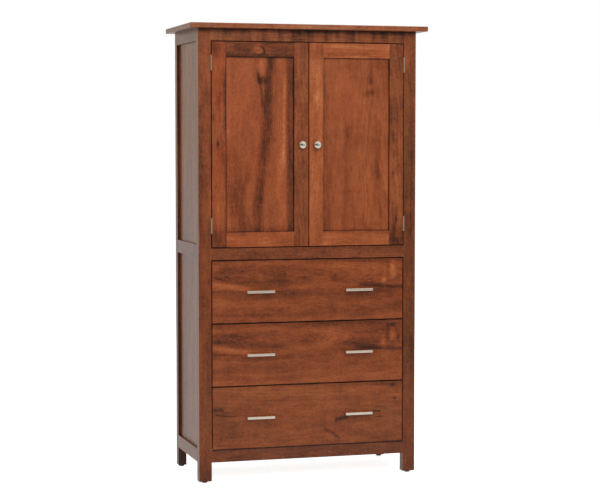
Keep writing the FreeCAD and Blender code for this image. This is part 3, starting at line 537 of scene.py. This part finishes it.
# The right post is likewise lighter high up and a little darker low down, painted light and shade, with a
# painted shadow of the overhang at its top.
stained("front_right_post", "z", "x", 3.7, tone=-0.16, figure=0.6, cloud=0.8, tinted=1.3,
        pith=(-0.03, 0.09), lean=0.025,
        streaks=[([(0.1, 0.437), (0.7, 0.439), (1.2, 0.436), (1.8, 0.438)], (0.008, 0.010), 0.08)],
        patches=[(1.70, 0.43, 0.12, 0.06, -0.08), (1.809, 0.43, 0.012, 0.10, 0.34),
                 (0.4, 0.43, 0.4, 0.06, 0.03)])
stained("rear_left_post", "z", "x", 4.9, tone=-0.30, figure=0.6, pith=(0.02, 0.1), lean=0.02)
stained("rear_right_post", "z", "x", 5.3, tone=-0.24, figure=0.6, pith=(-0.02, 0.1), lean=0.02)
print("top and posts dressed")

# %% Rails and panels
# The patch high up on the side rails is a painted shadow of the top's overhang.
stained("side_rails", "y", "z", 6.1, tone=-0.08, pith=(0.1, 0.5), lean=0.04,
        patches=[(0.02, 1.79, 0.4, 0.04, 0.08)])
stained("side_panels", "z", "y", 7.7, pith=(0.0, 0.5), lean=0.05)
# The two lower front rails get a painted sheen too, paler and bluer.
stained("front_bottom_rail", "x", "z", 8.3, tone=-0.145, figure=0.7, cloud=0.7, tint=PAINTED_SHEEN, tinted=0.7,
        pith=(0.05, 0.1), lean=0.015, edges=0.3)
stained("front_middle_rail", "x", "z", 9.1, tone=-0.135, figure=0.6, cloud=0.6, tint=PAINTED_SHEEN, tinted=0.5,
        pith=(-0.05, 0.1), lean=0.012, edges=0.25)
# The streak along the top rail's upper edge is a painted shadow of the top's overhang.
stained("front_top_rail", "x", "z", 10.7, tone=-0.02, tinted=1.4, pith=(0.03, 0.08), lean=0.02,
        ripple=0.9, edges=0.4,
        streaks=[([(-0.60, 1.808), (0.0, 1.808), (0.60, 1.808)], (0.013, 0.010), 0.32)])
stained("back_rails", "x", "z", 11.9, tone=-0.06, pith=(0.1, 0.2), lean=0.02)
stained("back_panels", "z", "x", 12.7, pith=(0.1, 0.25), lean=0.06)
stained("cupboard_floor", "x", "y", 13.3, pith=(0.05, 0.2), lean=0.03)
stained("adjustable_shelves", "x", "y", 14.1, pith=(0.03, 0.5), lean=0.05)
stained("shelf_standards", "z", "y", 15.7, tone=-0.03, pith=(0.0, 0.3), lean=0.02)
print("rails, panels and shelves dressed")

# %% [markdown]
# ## The door frames
# Each door is a frame of two upright stiles and two rails, cut from boards that don't match: the left
# door's top rail is dark with a light eye in it, and the right door's frame is pale. The marks could be
# left to chance, but they are what the eye compares first, so each is a streak or patch in its place.

# %% The left door's frame
def framing(node, grain, seed, edges=0.48, **changes):
    """A board seen from the front, with its sawn edges darker: stain gathered there, and painted shade where
    they line a gap.
    """
    stained(node, grain, "x" if grain == "z" else "z", seed, edges=edges, **changes)


framing("left_door_hinge_stile", "z", 16.3, edges=0.75, tone=0.05, tint=EMBER, tinted=1.2,
        pith=(0.03, 0.1), lean=0.02, knots=[(1.354, -0.376, 0.005)],
        streaks=[([(0.80, -0.343), (1.35, -0.343), (1.90, -0.343)], (0.010, 0.004), 0.08)],
        patches=[(1.599, -0.349, 0.04, 0.008, 0.14), (1.435, -0.345, 0.04, 0.006, 0.14),
                 (1.454, -0.392, 0.012, 0.006, 0.14), (1.15, -0.374, 0.14, 0.018, -0.05),
                 (0.975, -0.372, 0.06, 0.04, 0.27), (1.73, -0.372, 0.045, 0.05, 0.15)])
framing("left_door_lock_stile", "z", 17.9, edges=0.3, tone=0.01, pith=(-0.03, 0.1), lean=0.02,
        patches=[(1.225, -0.040, 0.06, 0.018, 0.09), (1.313, -0.030, 0.03, 0.016, -0.06)])
EYE = [(-0.209, 1.728, 0.024, 0.018, -0.32), (-0.2095, 1.725, 0.009, 0.005, 0.27),
       (-0.1965, 1.739, 0.006, 0.006, 0.28), (-0.1885, 1.733, 0.005, 0.006, 0.40),
       (-0.184, 1.722, 0.005, 0.007, 0.36), (-0.1895, 1.7125, 0.007, 0.006, 0.30),
       (-0.206, 1.7065, 0.012, 0.005, 0.24)]
# The streak along the top rail's lower edge is a painted shade above the panel.
framing("left_door_top_rail", "x", 18.1, tone=-0.17, pith=(0.03, 0.1), lean=0.03, figure=0.6, cloud=0.7,
        streaks=[([(-0.60, 1.699), (-0.20, 1.699), (0.20, 1.699)], (0.010, 0.012), 0.13)],
        patches=[(-0.265, 1.730, 0.05, 0.030, 0.10), (-0.11, 1.728, 0.06, 0.030, 0.12),
                 (-0.33, 1.735, 0.02, 0.02, -0.06)] + EYE)
framing("left_door_bottom_rail", "x", 19.3, edges=0.3, tone=0.06, tint=RUSSET, tinted=0.8,
        pith=(0.02, 0.1), lean=0.02)
print("left door's frame dressed")

# %% The right door's frame
framing("right_door_hinge_stile", "z", 21.7, edges=0.3, tone=-0.045, pith=(-0.03, 0.1), lean=0.02,
        patches=[(1.735, 0.370, 0.04, 0.04, 0.18), (1.670, 0.366, 0.04, 0.03, 0.10),
                 (0.975, 0.370, 0.06, 0.04, 0.38), (1.235, 0.357, 0.008, 0.006, 0.18),
                 (1.262, 0.382, 0.006, 0.008, 0.18), (1.285, 0.362, 0.03, 0.02, -0.12),
                 (1.215, 0.379, 0.02, 0.014, -0.12), (1.345, 0.356, 0.02, 0.01, -0.10)])
framing("right_door_lock_stile", "z", 22.3, edges=0.25, tone=0.14, tint=RUSSET, tinted=0.4,
        pith=(0.03, 0.1), lean=0.02, figure=0.6, cloud=0.8,
        streaks=[([(0.96, 0.045), (1.2, 0.043), (1.5, 0.045), (1.74, 0.044)], (0.012, 0.010), -0.07)],
        patches=[(1.539, 0.035, 0.03, 0.012, -0.12), (1.654, 0.029, 0.04, 0.016, -0.08),
                 (1.536, 0.010, 0.02, 0.006, 0.20), (0.978, 0.029, 0.04, 0.02, 0.10),
                 (1.725, 0.032, 0.04, 0.05, 0.21)])
framing("right_door_top_rail", "x", 23.9, tone=0.18, tint=RUSSET, tinted=0.4, pith=(0.03, 0.1), lean=0.02,
        streaks=[([(0.06, 1.712), (0.10, 1.711), (0.22, 1.714), (0.27, 1.713)], (0.005, 0.006), 0.09)],
        patches=[(0.257, 1.738, 0.03, 0.01, -0.06), (0.12, 1.739, 0.03, 0.01, -0.05)])
framing("right_door_bottom_rail", "x", 24.1, tone=0.15, tint=RUSSET, tinted=0.5, pith=(0.02, 0.1), lean=0.02,
        streaks=[([(-0.20, 1.001), (0.20, 1.001), (0.60, 1.001)], (0.012, 0.006), 0.13)])
print("right door's frame dressed")

# %% [markdown]
# ## The door panels
# The left panel carries the armoire's strongest mark, a dark streak that forks at a knot near the top and
# runs down the whole board. One broad streak would look painted on, so several of different breadths lie
# over each other. Panels sit in a groove, and the corner all round is darker, stain that stays there with
# painted shade over it, so each panel is told how wide the opening in its frame is.

# %% The left panel
def panel_opening(side):
    """The low and high corner (z, x) of the hole in a door's frame."""
    stiles = [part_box(side + "_door_hinge_stile"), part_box(side + "_door_lock_stile")]
    left, right = sorted(stiles, key=lambda box: box[0].x)
    return ((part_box(side + "_door_bottom_rail")[1].z, left[1].x),
            (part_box(side + "_door_top_rail")[0].z, right[0].x))


DARK_STREAK = [
    ([(0.940, -0.216), (1.033, -0.214), (1.090, -0.211), (1.151, -0.205), (1.202, -0.197), (1.258, -0.194),
      (1.308, -0.188), (1.381, -0.181), (1.449, -0.175), (1.570, -0.169)], (0.021, 0.023), 0.23),
    ([(1.500, -0.171), (1.530, -0.169), (1.569, -0.168), (1.634, -0.166), (1.694, -0.160), (1.800, -0.156)],
     (0.013, 0.018), 0.23),
    ([(1.000, -0.213), (1.058, -0.206), (1.131, -0.201), (1.190, -0.196), (1.238, -0.187), (1.285, -0.184),
      (1.341, -0.184), (1.477, -0.171), (1.585, -0.171), (1.72, -0.163)], (0.006, 0.012), 0.07)]
FORK = [
    ([(1.450, -0.188), (1.504, -0.182), (1.569, -0.182), (1.640, -0.184)], (0.003, 0.006), 0.14),
    ([(1.490, -0.187), (1.550, -0.193), (1.585, -0.198), (1.612, -0.206), (1.660, -0.216)],
     (0.006, 0.006), 0.22)]
RIGHT_OF_STREAK = [
    ([(0.90, -0.076), (1.25, -0.077), (1.5, -0.077), (1.80, -0.076)], (0.013, 0.03), 0.27),
    ([(1.08, -0.152), (1.20, -0.121), (1.31, -0.111), (1.436, -0.102), (1.62, -0.096)],
     (0.012, 0.010), -0.05),
    ([(1.33, -0.154), (1.40, -0.150), (1.48, -0.147), (1.56, -0.143), (1.70, -0.140)],
     (0.017, 0.017), 0.12),
    ([(1.24, -0.103), (1.40, -0.101), (1.66, -0.099)], (0.006, 0.006), -0.15)]
FINE_LINES = [([(1.26, place), (1.45, place + 0.004), (1.66, place + 0.009)], (0.002, 0.002), 0.06)
              for place in (-0.141, -0.131, -0.122)]
stained("left_door_panel", "z", "x", 20.9, tone=0.05, tint=RUSSET, tinted=0.9, pith=(-0.05, 0.09), lean=0.05,
        ring=0.007, drift=0.03, figure=0.7, cloud=0.55, opening=panel_opening("left"),
        streaks=DARK_STREAK + FORK + RIGHT_OF_STREAK + FINE_LINES,
        patches=[(1.03, -0.271, 0.05, 0.012, 0.18), (1.10, -0.285, 0.10, 0.035, 0.12),
                 (1.18, -0.308, 0.12, 0.045, 0.12), (1.58, -0.265, 0.10, 0.04, -0.05),
                 (1.25, -0.191, 0.03, 0.025, -0.09), (1.14, -0.203, 0.04, 0.02, 0.08),
                 (1.675, -0.155, 0.035, 0.012, 0.20), (1.008, -0.20, 0.016, 0.20, 0.13),
                 (1.50, -0.330, 0.22, 0.012, -0.12), (1.665, -0.195, 0.035, 0.010, -0.20),
                 (1.035, -0.330, 0.03, 0.006, -0.14), (1.609, -0.196, 0.016, 0.019, 0.40),
                 (1.630, -0.205, 0.007, 0.006, 0.20)])
print("left panel dressed, opening", panel_opening("left"))

# %% The right panel
stained("right_door_panel", "z", "x", 25.7, tone=-0.01, tint=RUSSET, tinted=0.4, pith=(0.08, 0.11), lean=0.03,
        figure=0.8, cloud=0.8, grain_dots=0.28, opening=panel_opening("right"),
        streaks=[([(1.15, 0.334), (1.174, 0.331), (1.215, 0.322), (1.256, 0.309), (1.30, 0.298)],
                  (0.005, 0.004), -0.14),
                 ([(1.10, 0.167), (1.25, 0.166), (1.45, 0.168)], (0.014, 0.012), 0.06),
                 ([(1.36, 0.203), (1.48, 0.201), (1.62, 0.200)], (0.012, 0.012), -0.06)],
        patches=[(1.606, 0.268, 0.015, 0.011, 0.31), (1.632, 0.270, 0.030, 0.009, 0.14),
                 (1.565, 0.267, 0.012, 0.018, 0.20), (1.555, 0.248, 0.010, 0.020, 0.15),
                 (1.60, 0.292, 0.03, 0.010, -0.08), (1.23, 0.294, 0.05, 0.008, 0.18),
                 (1.03, 0.231, 0.03, 0.014, 0.16), (1.012, 0.265, 0.012, 0.015, 0.12),
                 (1.394, 0.166, 0.05, 0.02, 0.08), (1.389, 0.292, 0.05, 0.03, 0.06),
                 (1.182, 0.333, 0.04, 0.006, -0.14)])
print("right panel dressed, opening", panel_opening("right"))

# %% [markdown]
# ## The drawer fronts
# The fronts are wide boards with their grain lying flat, so they show the arches best. The upper two were
# sawn one after the other from one log and repeat its marks, so one list of marks is drawn twice, the
# second time lower. The bottom front comes from another log and has marks of its own. Every front also
# gets a painted shade along its top edge, under the gap above it.

# %% The upper two drawer fronts
DARK_ZONE = [(-0.404, 0.822), (-0.350, 0.810), (-0.290, 0.795), (-0.240, 0.787), (-0.150, 0.783),
             (-0.060, 0.790)]
TONGUE = [(-0.420, 0.800), (-0.350, 0.788), (-0.230, 0.770)]
FURROW = [(-0.420, 0.768), (-0.340, 0.766), (-0.250, 0.762)]
DARK_BAND = [(0.080, 0.804), (0.170, 0.794), (0.260, 0.782), (0.330, 0.774)]
BAND_END = [(0.200, 0.781), (0.270, 0.776), (0.340, 0.772), (0.450, 0.768)]
# The next list is a painted shade along each front's top edge, under the gap above it.
TOP_EDGE_SHADE = [(-0.10, 0.886), (0.20, 0.886), (0.60, 0.886)]
CLOUDS = [(-0.017, 0.816, 0.02, 0.008, 0.15), (0.336, 0.836, 0.008, 0.030, 0.16),
          (0.319, 0.800, 0.011, 0.014, -0.28), (0.384, 0.815, 0.006, 0.016, 0.14),
          (-0.378, 0.819, 0.022, 0.007, 0.16), (-0.200, 0.824, 0.009, 0.009, -0.08),
          (-0.31, 0.828, 0.06, 0.016, 0.05), (-0.37, 0.72, 0.03, 0.03, -0.10),
          (-0.39, 0.865, 0.04, 0.012, -0.08), (0.15, 0.85, 0.08, 0.02, -0.06),
          (0.22, 0.80, 0.06, 0.016, 0.08)]


def lowered(marks, drop):
    """The same marks on the next board of the log, so much lower."""
    return [(place_along, place_across - drop, *rest) for place_along, place_across, *rest in marks]


def upper_front(name, seed, drop, zone_depth, leaf, knots=()):
    """leaf is the light patch by the front's right end, which is of another size on each board."""
    streaks = [(lowered(DARK_ZONE, drop), (0.006, 0.060), zone_depth),
               (lowered(TONGUE, drop), (0.012, 0.010), -0.17),
               # this streak is the painted shade along the top edge, under the gap
               (lowered(TOP_EDGE_SHADE, drop), (0.014, 0.006), 0.11),
               (lowered(FURROW, drop), (0.004, 0.006), 0.10),
               (lowered(DARK_BAND, drop), (0.007, 0.014), 0.10),
               (lowered(BAND_END, drop), (0.006, 0.010), 0.17)]
    framing(name, "x", seed, tone=-0.028, tint=RUSSET, tinted=0.2, pith=(0.065, 0.035), lean=0.12, figure=1.2,
            cloud=0.6, knots=knots, streaks=streaks, patches=[leaf] + lowered(CLOUDS, drop))


upper_front("top_drawer_front", 26.3, 0.0, 0.11, leaf=(0.358, 0.846, 0.012, 0.034, -0.26))
upper_front("middle_drawer_front", 27.1, 0.255, 0.07, leaf=(0.358, 0.574, 0.012, 0.020, -0.28),
            knots=[(0.358, 0.616, 0.005)])
print("upper drawer fronts dressed")

# %% The bottom drawer front
framing("bottom_drawer_front", "x", 28.9, tone=-0.008, tinted=0.45, pith=(-0.02, 0.09), lean=0.05, ring=0.013,
        figure=0.8, cloud=0.9, knots=[(0.358, 0.366, 0.004), (0.367, 0.312, 0.003)],
        patches=[(-0.19, 0.315, 0.014, 0.007, 0.14), (-0.28, 0.17, 0.09, 0.02, -0.06)],
        streaks=[([(-0.400, 0.288), (-0.378, 0.2925), (-0.352, 0.285)], (0.006, 0.008), 0.26),
                 ([(-0.396, 0.276), (-0.365, 0.268), (-0.330, 0.264), (-0.295, 0.262)],
                  (0.0035, 0.0045), 0.24),
                 ([(0.108, 0.233), (0.135, 0.237), (0.172, 0.247)], (0.010, 0.011), 0.34),
                 ([(0.268, 0.262), (0.290, 0.261), (0.310, 0.260)], (0.004, 0.004), 0.35),
                 ([(0.275, 0.237), (0.300, 0.238), (0.325, 0.238)], (0.003, 0.003), 0.25),
                 ([(0.062, 0.197), (0.092, 0.186), (0.118, 0.166), (0.136, 0.151)], (0.008, 0.007), 0.24),
                 # the last streak is the painted shade along the top edge, under the gap
                 (lowered(TOP_EDGE_SHADE, 0.506), (0.014, 0.006), 0.11)])
print("bottom drawer front dressed")

# %% [markdown]
# ## Drawer boxes
# Behind a stained front, a drawer box is usually pale wood under a thin clear coat, and so are the cleats
# that carry the slides. It needs no shader of its own: the same wood with a pale ramp and a duller coat
# still has rings, end grain and pores.

# %% Drawer boxes and slide cleats
PALE = ((0.0, srgb(140, 100, 60)), (0.3, srgb(184, 145, 98)), (0.55, srgb(208, 174, 128)),
        (0.8, srgb(222, 194, 150)), (1.0, srgb(232, 210, 172)))
DRAWERS = ("bottom", "middle", "top")


def clear_coated(node, grain, across, seed, lean=0.03, gloss=0.45, **changes):
    stained(node, grain, across, seed, lean=lean, stain=PALE, gloss=gloss, **changes)


for row, name in enumerate(DRAWERS):
    clear_coated(name + "_drawer_sides", "y", "z", 30.0 + row, pith=(0.05, 0.6))
    clear_coated(name + "_drawer_back", "x", "z", 33.0 + row, pith=(0.03, 0.1))
    clear_coated(name + "_drawer_bottom", "x", "y", 36.0 + row, pith=(0.05, 0.2), lean=0.04)
clear_coated("slide_cleats", "y", "z", 39.0, pith=(0.1, 0.5), gloss=0.5)
print("drawer boxes dressed")

# %% [markdown]
# ## Metal
# Pulls, knobs, hinges, screws and pins are nickel-plated, and the slides are zinc-plated steel. Bare metal
# with one roughness looks like chrome, so noise stretched along the brushing direction blurs what it
# mirrors, and a cloudy film dulls it. The knobs are turned and mirror more, and their rims curve away and
# mirror the brown of the door; a painted reflection of that brown round each rim helps it along.

# %% Brushed metal
BRUSH_DETAIL = 4.0
FILM_SCALE, FILM_RANGE, FILM_SHADE = 90.0, (0.45, 0.75), 0.72
BRUSH_ROUGHNESS, FILM_ROUGHNESS = 0.16, 0.06
# The rim colour is a painted reflection: the door's brown, mirrored in the knob's curved rim.
KNOB_RIM_PAINTED_REFLECTION = srgb(112, 78, 60)
KNOB_RIM_START, KNOB_RIM_STRENGTH = 0.72, 0.8


def scaled(colour, factor):
    """A lighter or darker shade of a plain colour."""
    return tuple(factor * part for part in colour[:3]) + (1.0,)


def metal(name, colour, roughness, brush, tarnish, rim=None):
    """brush says how fine the lines are along each axis; rim is a knob's (x, z, radius), round which a
    painted reflection of the door's brown is laid.
    """
    material, nodes = new_material(name)
    point = nodes.add("TexCoord", out="Object")
    stretched = nodes.add("VectorMath", {"operation": "MULTIPLY"}, {0: point, 1: brush})
    noise = nodes.add("TexNoise", sockets={"Vector": stretched, "Scale": 1.0, "Detail": BRUSH_DETAIL})
    lines = noise - NOISE_MIDDLE
    film = nodes.add("TexNoise", sockets={"Vector": point, "Scale": FILM_SCALE, "Detail": 3.0})
    dull = film.smooth(*FILM_RANGE)
    shade = nodes.mix(dull * tarnish, colour, scaled(colour, FILM_SHADE))
    if rim:
        place = nodes.outputs("SeparateXYZ", {"Vector": point})
        off_side = nodes.sum("ABSOLUTE", place["X"]) - rim[0]
        off_height = place["Z"] - rim[1]
        away = nodes.sum("SQRT", off_side * off_side + off_height * off_height)
        rim_reflection_mask = away.smooth(rim[2] * KNOB_RIM_START, rim[2])
        shade = nodes.mix(rim_reflection_mask * KNOB_RIM_STRENGTH, shade, KNOB_RIM_PAINTED_REFLECTION)
    bump = nodes.add("Bump", sockets={"Strength": 0.12, "Distance": 0.0002, "Height": lines})
    shader = nodes.add("BsdfPrincipled", sockets={
        "Base Color": shade, "Metallic": 1.0, "Normal": bump,
        "Roughness": lines * BRUSH_ROUGHNESS + dull * FILM_ROUGHNESS + roughness})
    nodes.add("OutputMaterial", sockets={"Surface": shader})
    return material


# %% Pulls, knobs, hinges, slides and screws
knob_low, knob_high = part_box("right_door_knob")
knob_rim = ((knob_low.x + knob_high.x) / 2, (knob_low.z + knob_high.z) / 2, (knob_high.x - knob_low.x) / 2)
nickel = metal("satin_nickel", srgb(238, 231, 220), 0.36, (40.0, 900.0, 900.0), 0.25)
turned_nickel = metal("turned_nickel", srgb(224, 220, 213), 0.17, (500.0, 120.0, 500.0), 0.2, rim=knob_rim)
hinge_nickel = metal("hinge_nickel", srgb(205, 192, 176), 0.32, (700.0, 700.0, 60.0), 0.25)
zinc = metal("zinc_steel", srgb(186, 188, 190), 0.40, (300.0, 40.0, 300.0), 0.5)
for name in DRAWERS:
    dress(name + "_drawer_pulls", nickel)
    dress(name + "_drawer_slide_members", zinc)
    dress(name + "_slide_middle_members", zinc)
dress("slide_case_members", zinc)
for side in ("left", "right"):
    dress(side + "_door_knob", turned_nickel)
    dress(side + "_door_hinge_leaves", hinge_nickel)
    dress(side + "_door_fasteners", nickel)
for node in ("frame_hinge_leaves", "hinge_pins"):
    dress(node, hinge_nickel)
for node in ("case_screws", "shelf_pins"):
    dress(node, nickel)
print("metal dressed, knob radius", round(knob_rim[2], 4))

# %% [markdown]
# ## Plastic
# The glides under the feet and the case of the door catch are moulded brown plastic. Moulds leave a fine
# even skin, too fine to model, so noise gives it as bump, and a slow second noise keeps the brown from
# looking painted.

# %% Moulded plastic
SKIN_SCALE, TURN_SCALE, FINE_DETAIL = 1400.0, 60.0, 2.0
LIGHT_SHADE, LIGHT_SHARE = 1.5, 0.5
SKIN_ROUGHNESS, TURN_ROUGHNESS = 0.1, 0.1


def plastic(name, colour, roughness):
    material, nodes = new_material(name)
    point = nodes.add("TexCoord", out="Object")
    noise = nodes.add("TexNoise", sockets={"Vector": point, "Scale": SKIN_SCALE, "Detail": FINE_DETAIL})
    skin = noise - NOISE_MIDDLE
    turn = nodes.add("TexNoise", sockets={"Vector": point, "Scale": TURN_SCALE, "Detail": FINE_DETAIL})
    shade = nodes.mix(turn * LIGHT_SHARE, colour, scaled(colour, LIGHT_SHADE))
    bump = nodes.add("Bump", sockets={"Strength": 0.2, "Distance": 0.0002, "Height": skin})
    shader = nodes.add("BsdfPrincipled", sockets={
        "Base Color": shade, "Normal": bump,
        "Roughness": skin * SKIN_ROUGHNESS + turn * TURN_ROUGHNESS + roughness})
    nodes.add("OutputMaterial", sockets={"Surface": shader})
    return material


dress("foot_glides", plastic("glide_plastic", srgb(58, 38, 26), 0.45))
dress("door_catch", plastic("catch_plastic", srgb(84, 52, 34), 0.4))
print("plastic dressed")

# %% [markdown]
# ## Floor
# The armoire stands alone on a pale floor. Enough light to make that floor white would bleach the wood, so
# the floor glows for the camera only, and still takes the armoire's shadow. What mirrors the floor sees it
# warm, and dim far in front, so that the pulls get a dark side; the wood gets only the light that a grey
# floor throws back.

# %% Floor
WHITE = (1.0, 1.0, 1.0, 1.0)
WARM_WHITE = (1.0, 0.97, 0.93, 1.0)
DIM_DISTANCE = (1.5, 6.0)
FLOOR_HALF = 60.0


def backdrop_rays(nodes):
    """1 for rays straight from the camera, and 1 for those mirrored or gone through something clear."""
    rays = nodes.outputs("LightPath")
    return rays["Is Camera Ray"], nodes.sum("MAXIMUM", rays["Is Glossy Ray"], rays["Is Transmission Ray"])


def floor_finish():
    material, nodes = new_material("floor")
    grey = nodes.add("BsdfDiffuse", sockets={"Color": (0.55, 0.55, 0.55, 1.0)})
    pale = nodes.add("BsdfDiffuse", sockets={"Color": (0.88, 0.88, 0.88, 1.0)})
    glow, warm, dusk = [nodes.add("Emission", sockets={"Color": colour, "Strength": strength})
                        for colour, strength in ((WHITE, 0.86), (WARM_WHITE, 0.92), (WARM_WHITE, 0.2))]
    bright = nodes.add("AddShader", sockets={0: pale, 1: glow})
    place = nodes.outputs("SeparateXYZ", {"Vector": nodes.add("TexCoord", out="Object")})
    far = (0 - place["Y"]).smooth(*DIM_DISTANCE)
    mirrored = nodes.add("MixShader", sockets={0: far, 1: warm, 2: dusk})
    camera_ray, mirror_ray = backdrop_rays(nodes)
    lit = nodes.add("MixShader", sockets={0: mirror_ray, 1: grey, 2: mirrored})
    seen = nodes.add("MixShader", sockets={0: camera_ray, 1: lit, 2: bright})
    nodes.add("OutputMaterial", sockets={"Surface": seen})
    return material


corners = [(-FLOOR_HALF, -FLOOR_HALF, 0), (FLOOR_HALF, -FLOOR_HALF, 0),
           (FLOOR_HALF, FLOOR_HALF, 0), (-FLOOR_HALF, FLOOR_HALF, 0)]
floor_mesh = bpy.data.meshes.new("floor")
floor_mesh.from_pydata(corners, [], [(0, 1, 2, 3)])
floor_mesh.materials.append(floor_finish())
floor = bpy.data.objects.new("floor", floor_mesh)
bpy.context.scene.collection.objects.link(floor)
print("floor", 2 * FLOOR_HALF, "m wide")

# %% [markdown]
# ## Room
# The camera sees a white room. Metal that mirrors only white has no form, so what is mirrored is a cream
# room that is dim in front and low down, as if the camera stood in a dark corner. The wood itself is lit by
# a weak even light, which keeps the shaded side from going black.

# %% Room
CREAM = (1.0, 0.895, 0.76, 1.0)
CREAM_STRENGTH, DIM_STRENGTH, AMBIENT = 0.885, 0.12, 0.24
BACK_SHARE, RISE_SHARE, SIDE_SHARE = 0.4, 1.2, 0.8
DARK_SIDE = 0.35
OPEN_RANGE = (0.1, 0.45)

world = bpy.data.worlds.new("studio")
world.use_nodes = True
bpy.context.scene.world = world
nodes = Nodes(world.node_tree)
white, cream, dim, soft = [nodes.add("Background", sockets={"Color": colour, "Strength": strength})
                           for colour, strength in ((WHITE, 1.0), (CREAM, CREAM_STRENGTH),
                                                    (WHITE, DIM_STRENGTH), (WHITE, AMBIENT))]
way = nodes.outputs("SeparateXYZ", {"Vector": nodes.add("TexCoord", out="Generated")})
aside = nodes.sum("ABSOLUTE", way["X"] + DARK_SIDE)
openness = way["Y"] * BACK_SHARE + way["Z"] * RISE_SHARE + aside * SIDE_SHARE
mirrored = nodes.add("MixShader", sockets={0: openness.smooth(*OPEN_RANGE), 1: dim, 2: cream})
camera_ray, mirror_ray = backdrop_rays(nodes)
lit = nodes.add("MixShader", sockets={0: mirror_ray, 1: soft, 2: mirrored})
room = nodes.add("MixShader", sockets={0: camera_ray, 1: lit, 2: white})
nodes.add("OutputWorld", sockets={"Surface": room})
print("room light", AMBIENT)


# %% [markdown]
# ## Lamps
# A wide soft lamp hangs high in front, so the top's overhang throws a shadow on the rail below it; a painted
# shadow on the rails and the front posts' tops deepens it. A weak one low in front fills the drawers, and one
# behind lights the back and the floor. A sun would give hard shadows, which a studio avoids. None shows in
# mirrors, because bright discs on the knobs would give the lamps away. Together they light a colour about
# as it is written.

# %% Lamps
LAMP_AIM = Vector((0, 0, 1.0))


def lamp(name, place, size, watts):
    data = bpy.data.lights.new(name, "AREA")
    data.shape = "DISK"
    data.size = size
    data.energy = watts
    made = bpy.data.objects.new(name, data)
    made.location = place
    made.rotation_euler = (LAMP_AIM - Vector(place)).to_track_quat("-Z", "Y").to_euler()
    made.visible_glossy = False
    bpy.context.scene.collection.objects.link(made)
    print(name, "lamp", watts, "W")


lamp("key", (-0.7, -4.2, 3.4), size=4.8, watts=160.0)
lamp("fill", (0.9, -5.2, 1.4), size=4.0, watts=35.0)
lamp("back", (1.5, 4.4, 3.4), size=3.0, watts=90.0)

# %% [markdown]
# ## Camera
# A camera could be set by eye, but a small error in its place bends every edge. Its place, turn and lens
# come from fitting a camera to the armoire's edges in the photograph. It looks slightly down, with no
# shift, so that the armoire stays in the middle from any other side as well.

# %% Camera
PHOTO_WIDTH, FOCAL_LENGTH = 600, 1771.321   # pixels
SENSOR_WIDTH = 36.0                         # millimetres
YAW, PITCH = math.radians(16.269), math.radians(-3.479)
camera_data = bpy.data.cameras.new("camera")
camera_data.sensor_width = SENSOR_WIDTH
camera_data.lens = FOCAL_LENGTH / PHOTO_WIDTH * SENSOR_WIDTH
camera_data.clip_end = 200.0
camera = bpy.data.objects.new("camera", camera_data)
camera.location = (-2.0312, -7.0271, 1.3602)
gaze = Vector((math.sin(YAW) * math.cos(PITCH), math.cos(YAW) * math.cos(PITCH), math.sin(PITCH)))
camera.rotation_euler = gaze.to_track_quat("-Z", "Y").to_euler()
bpy.context.scene.collection.objects.link(camera)
bpy.context.scene.camera = camera
bpy.context.scene.view_settings.view_transform = "Standard"
print("camera lens", round(camera_data.lens, 1), "mm")
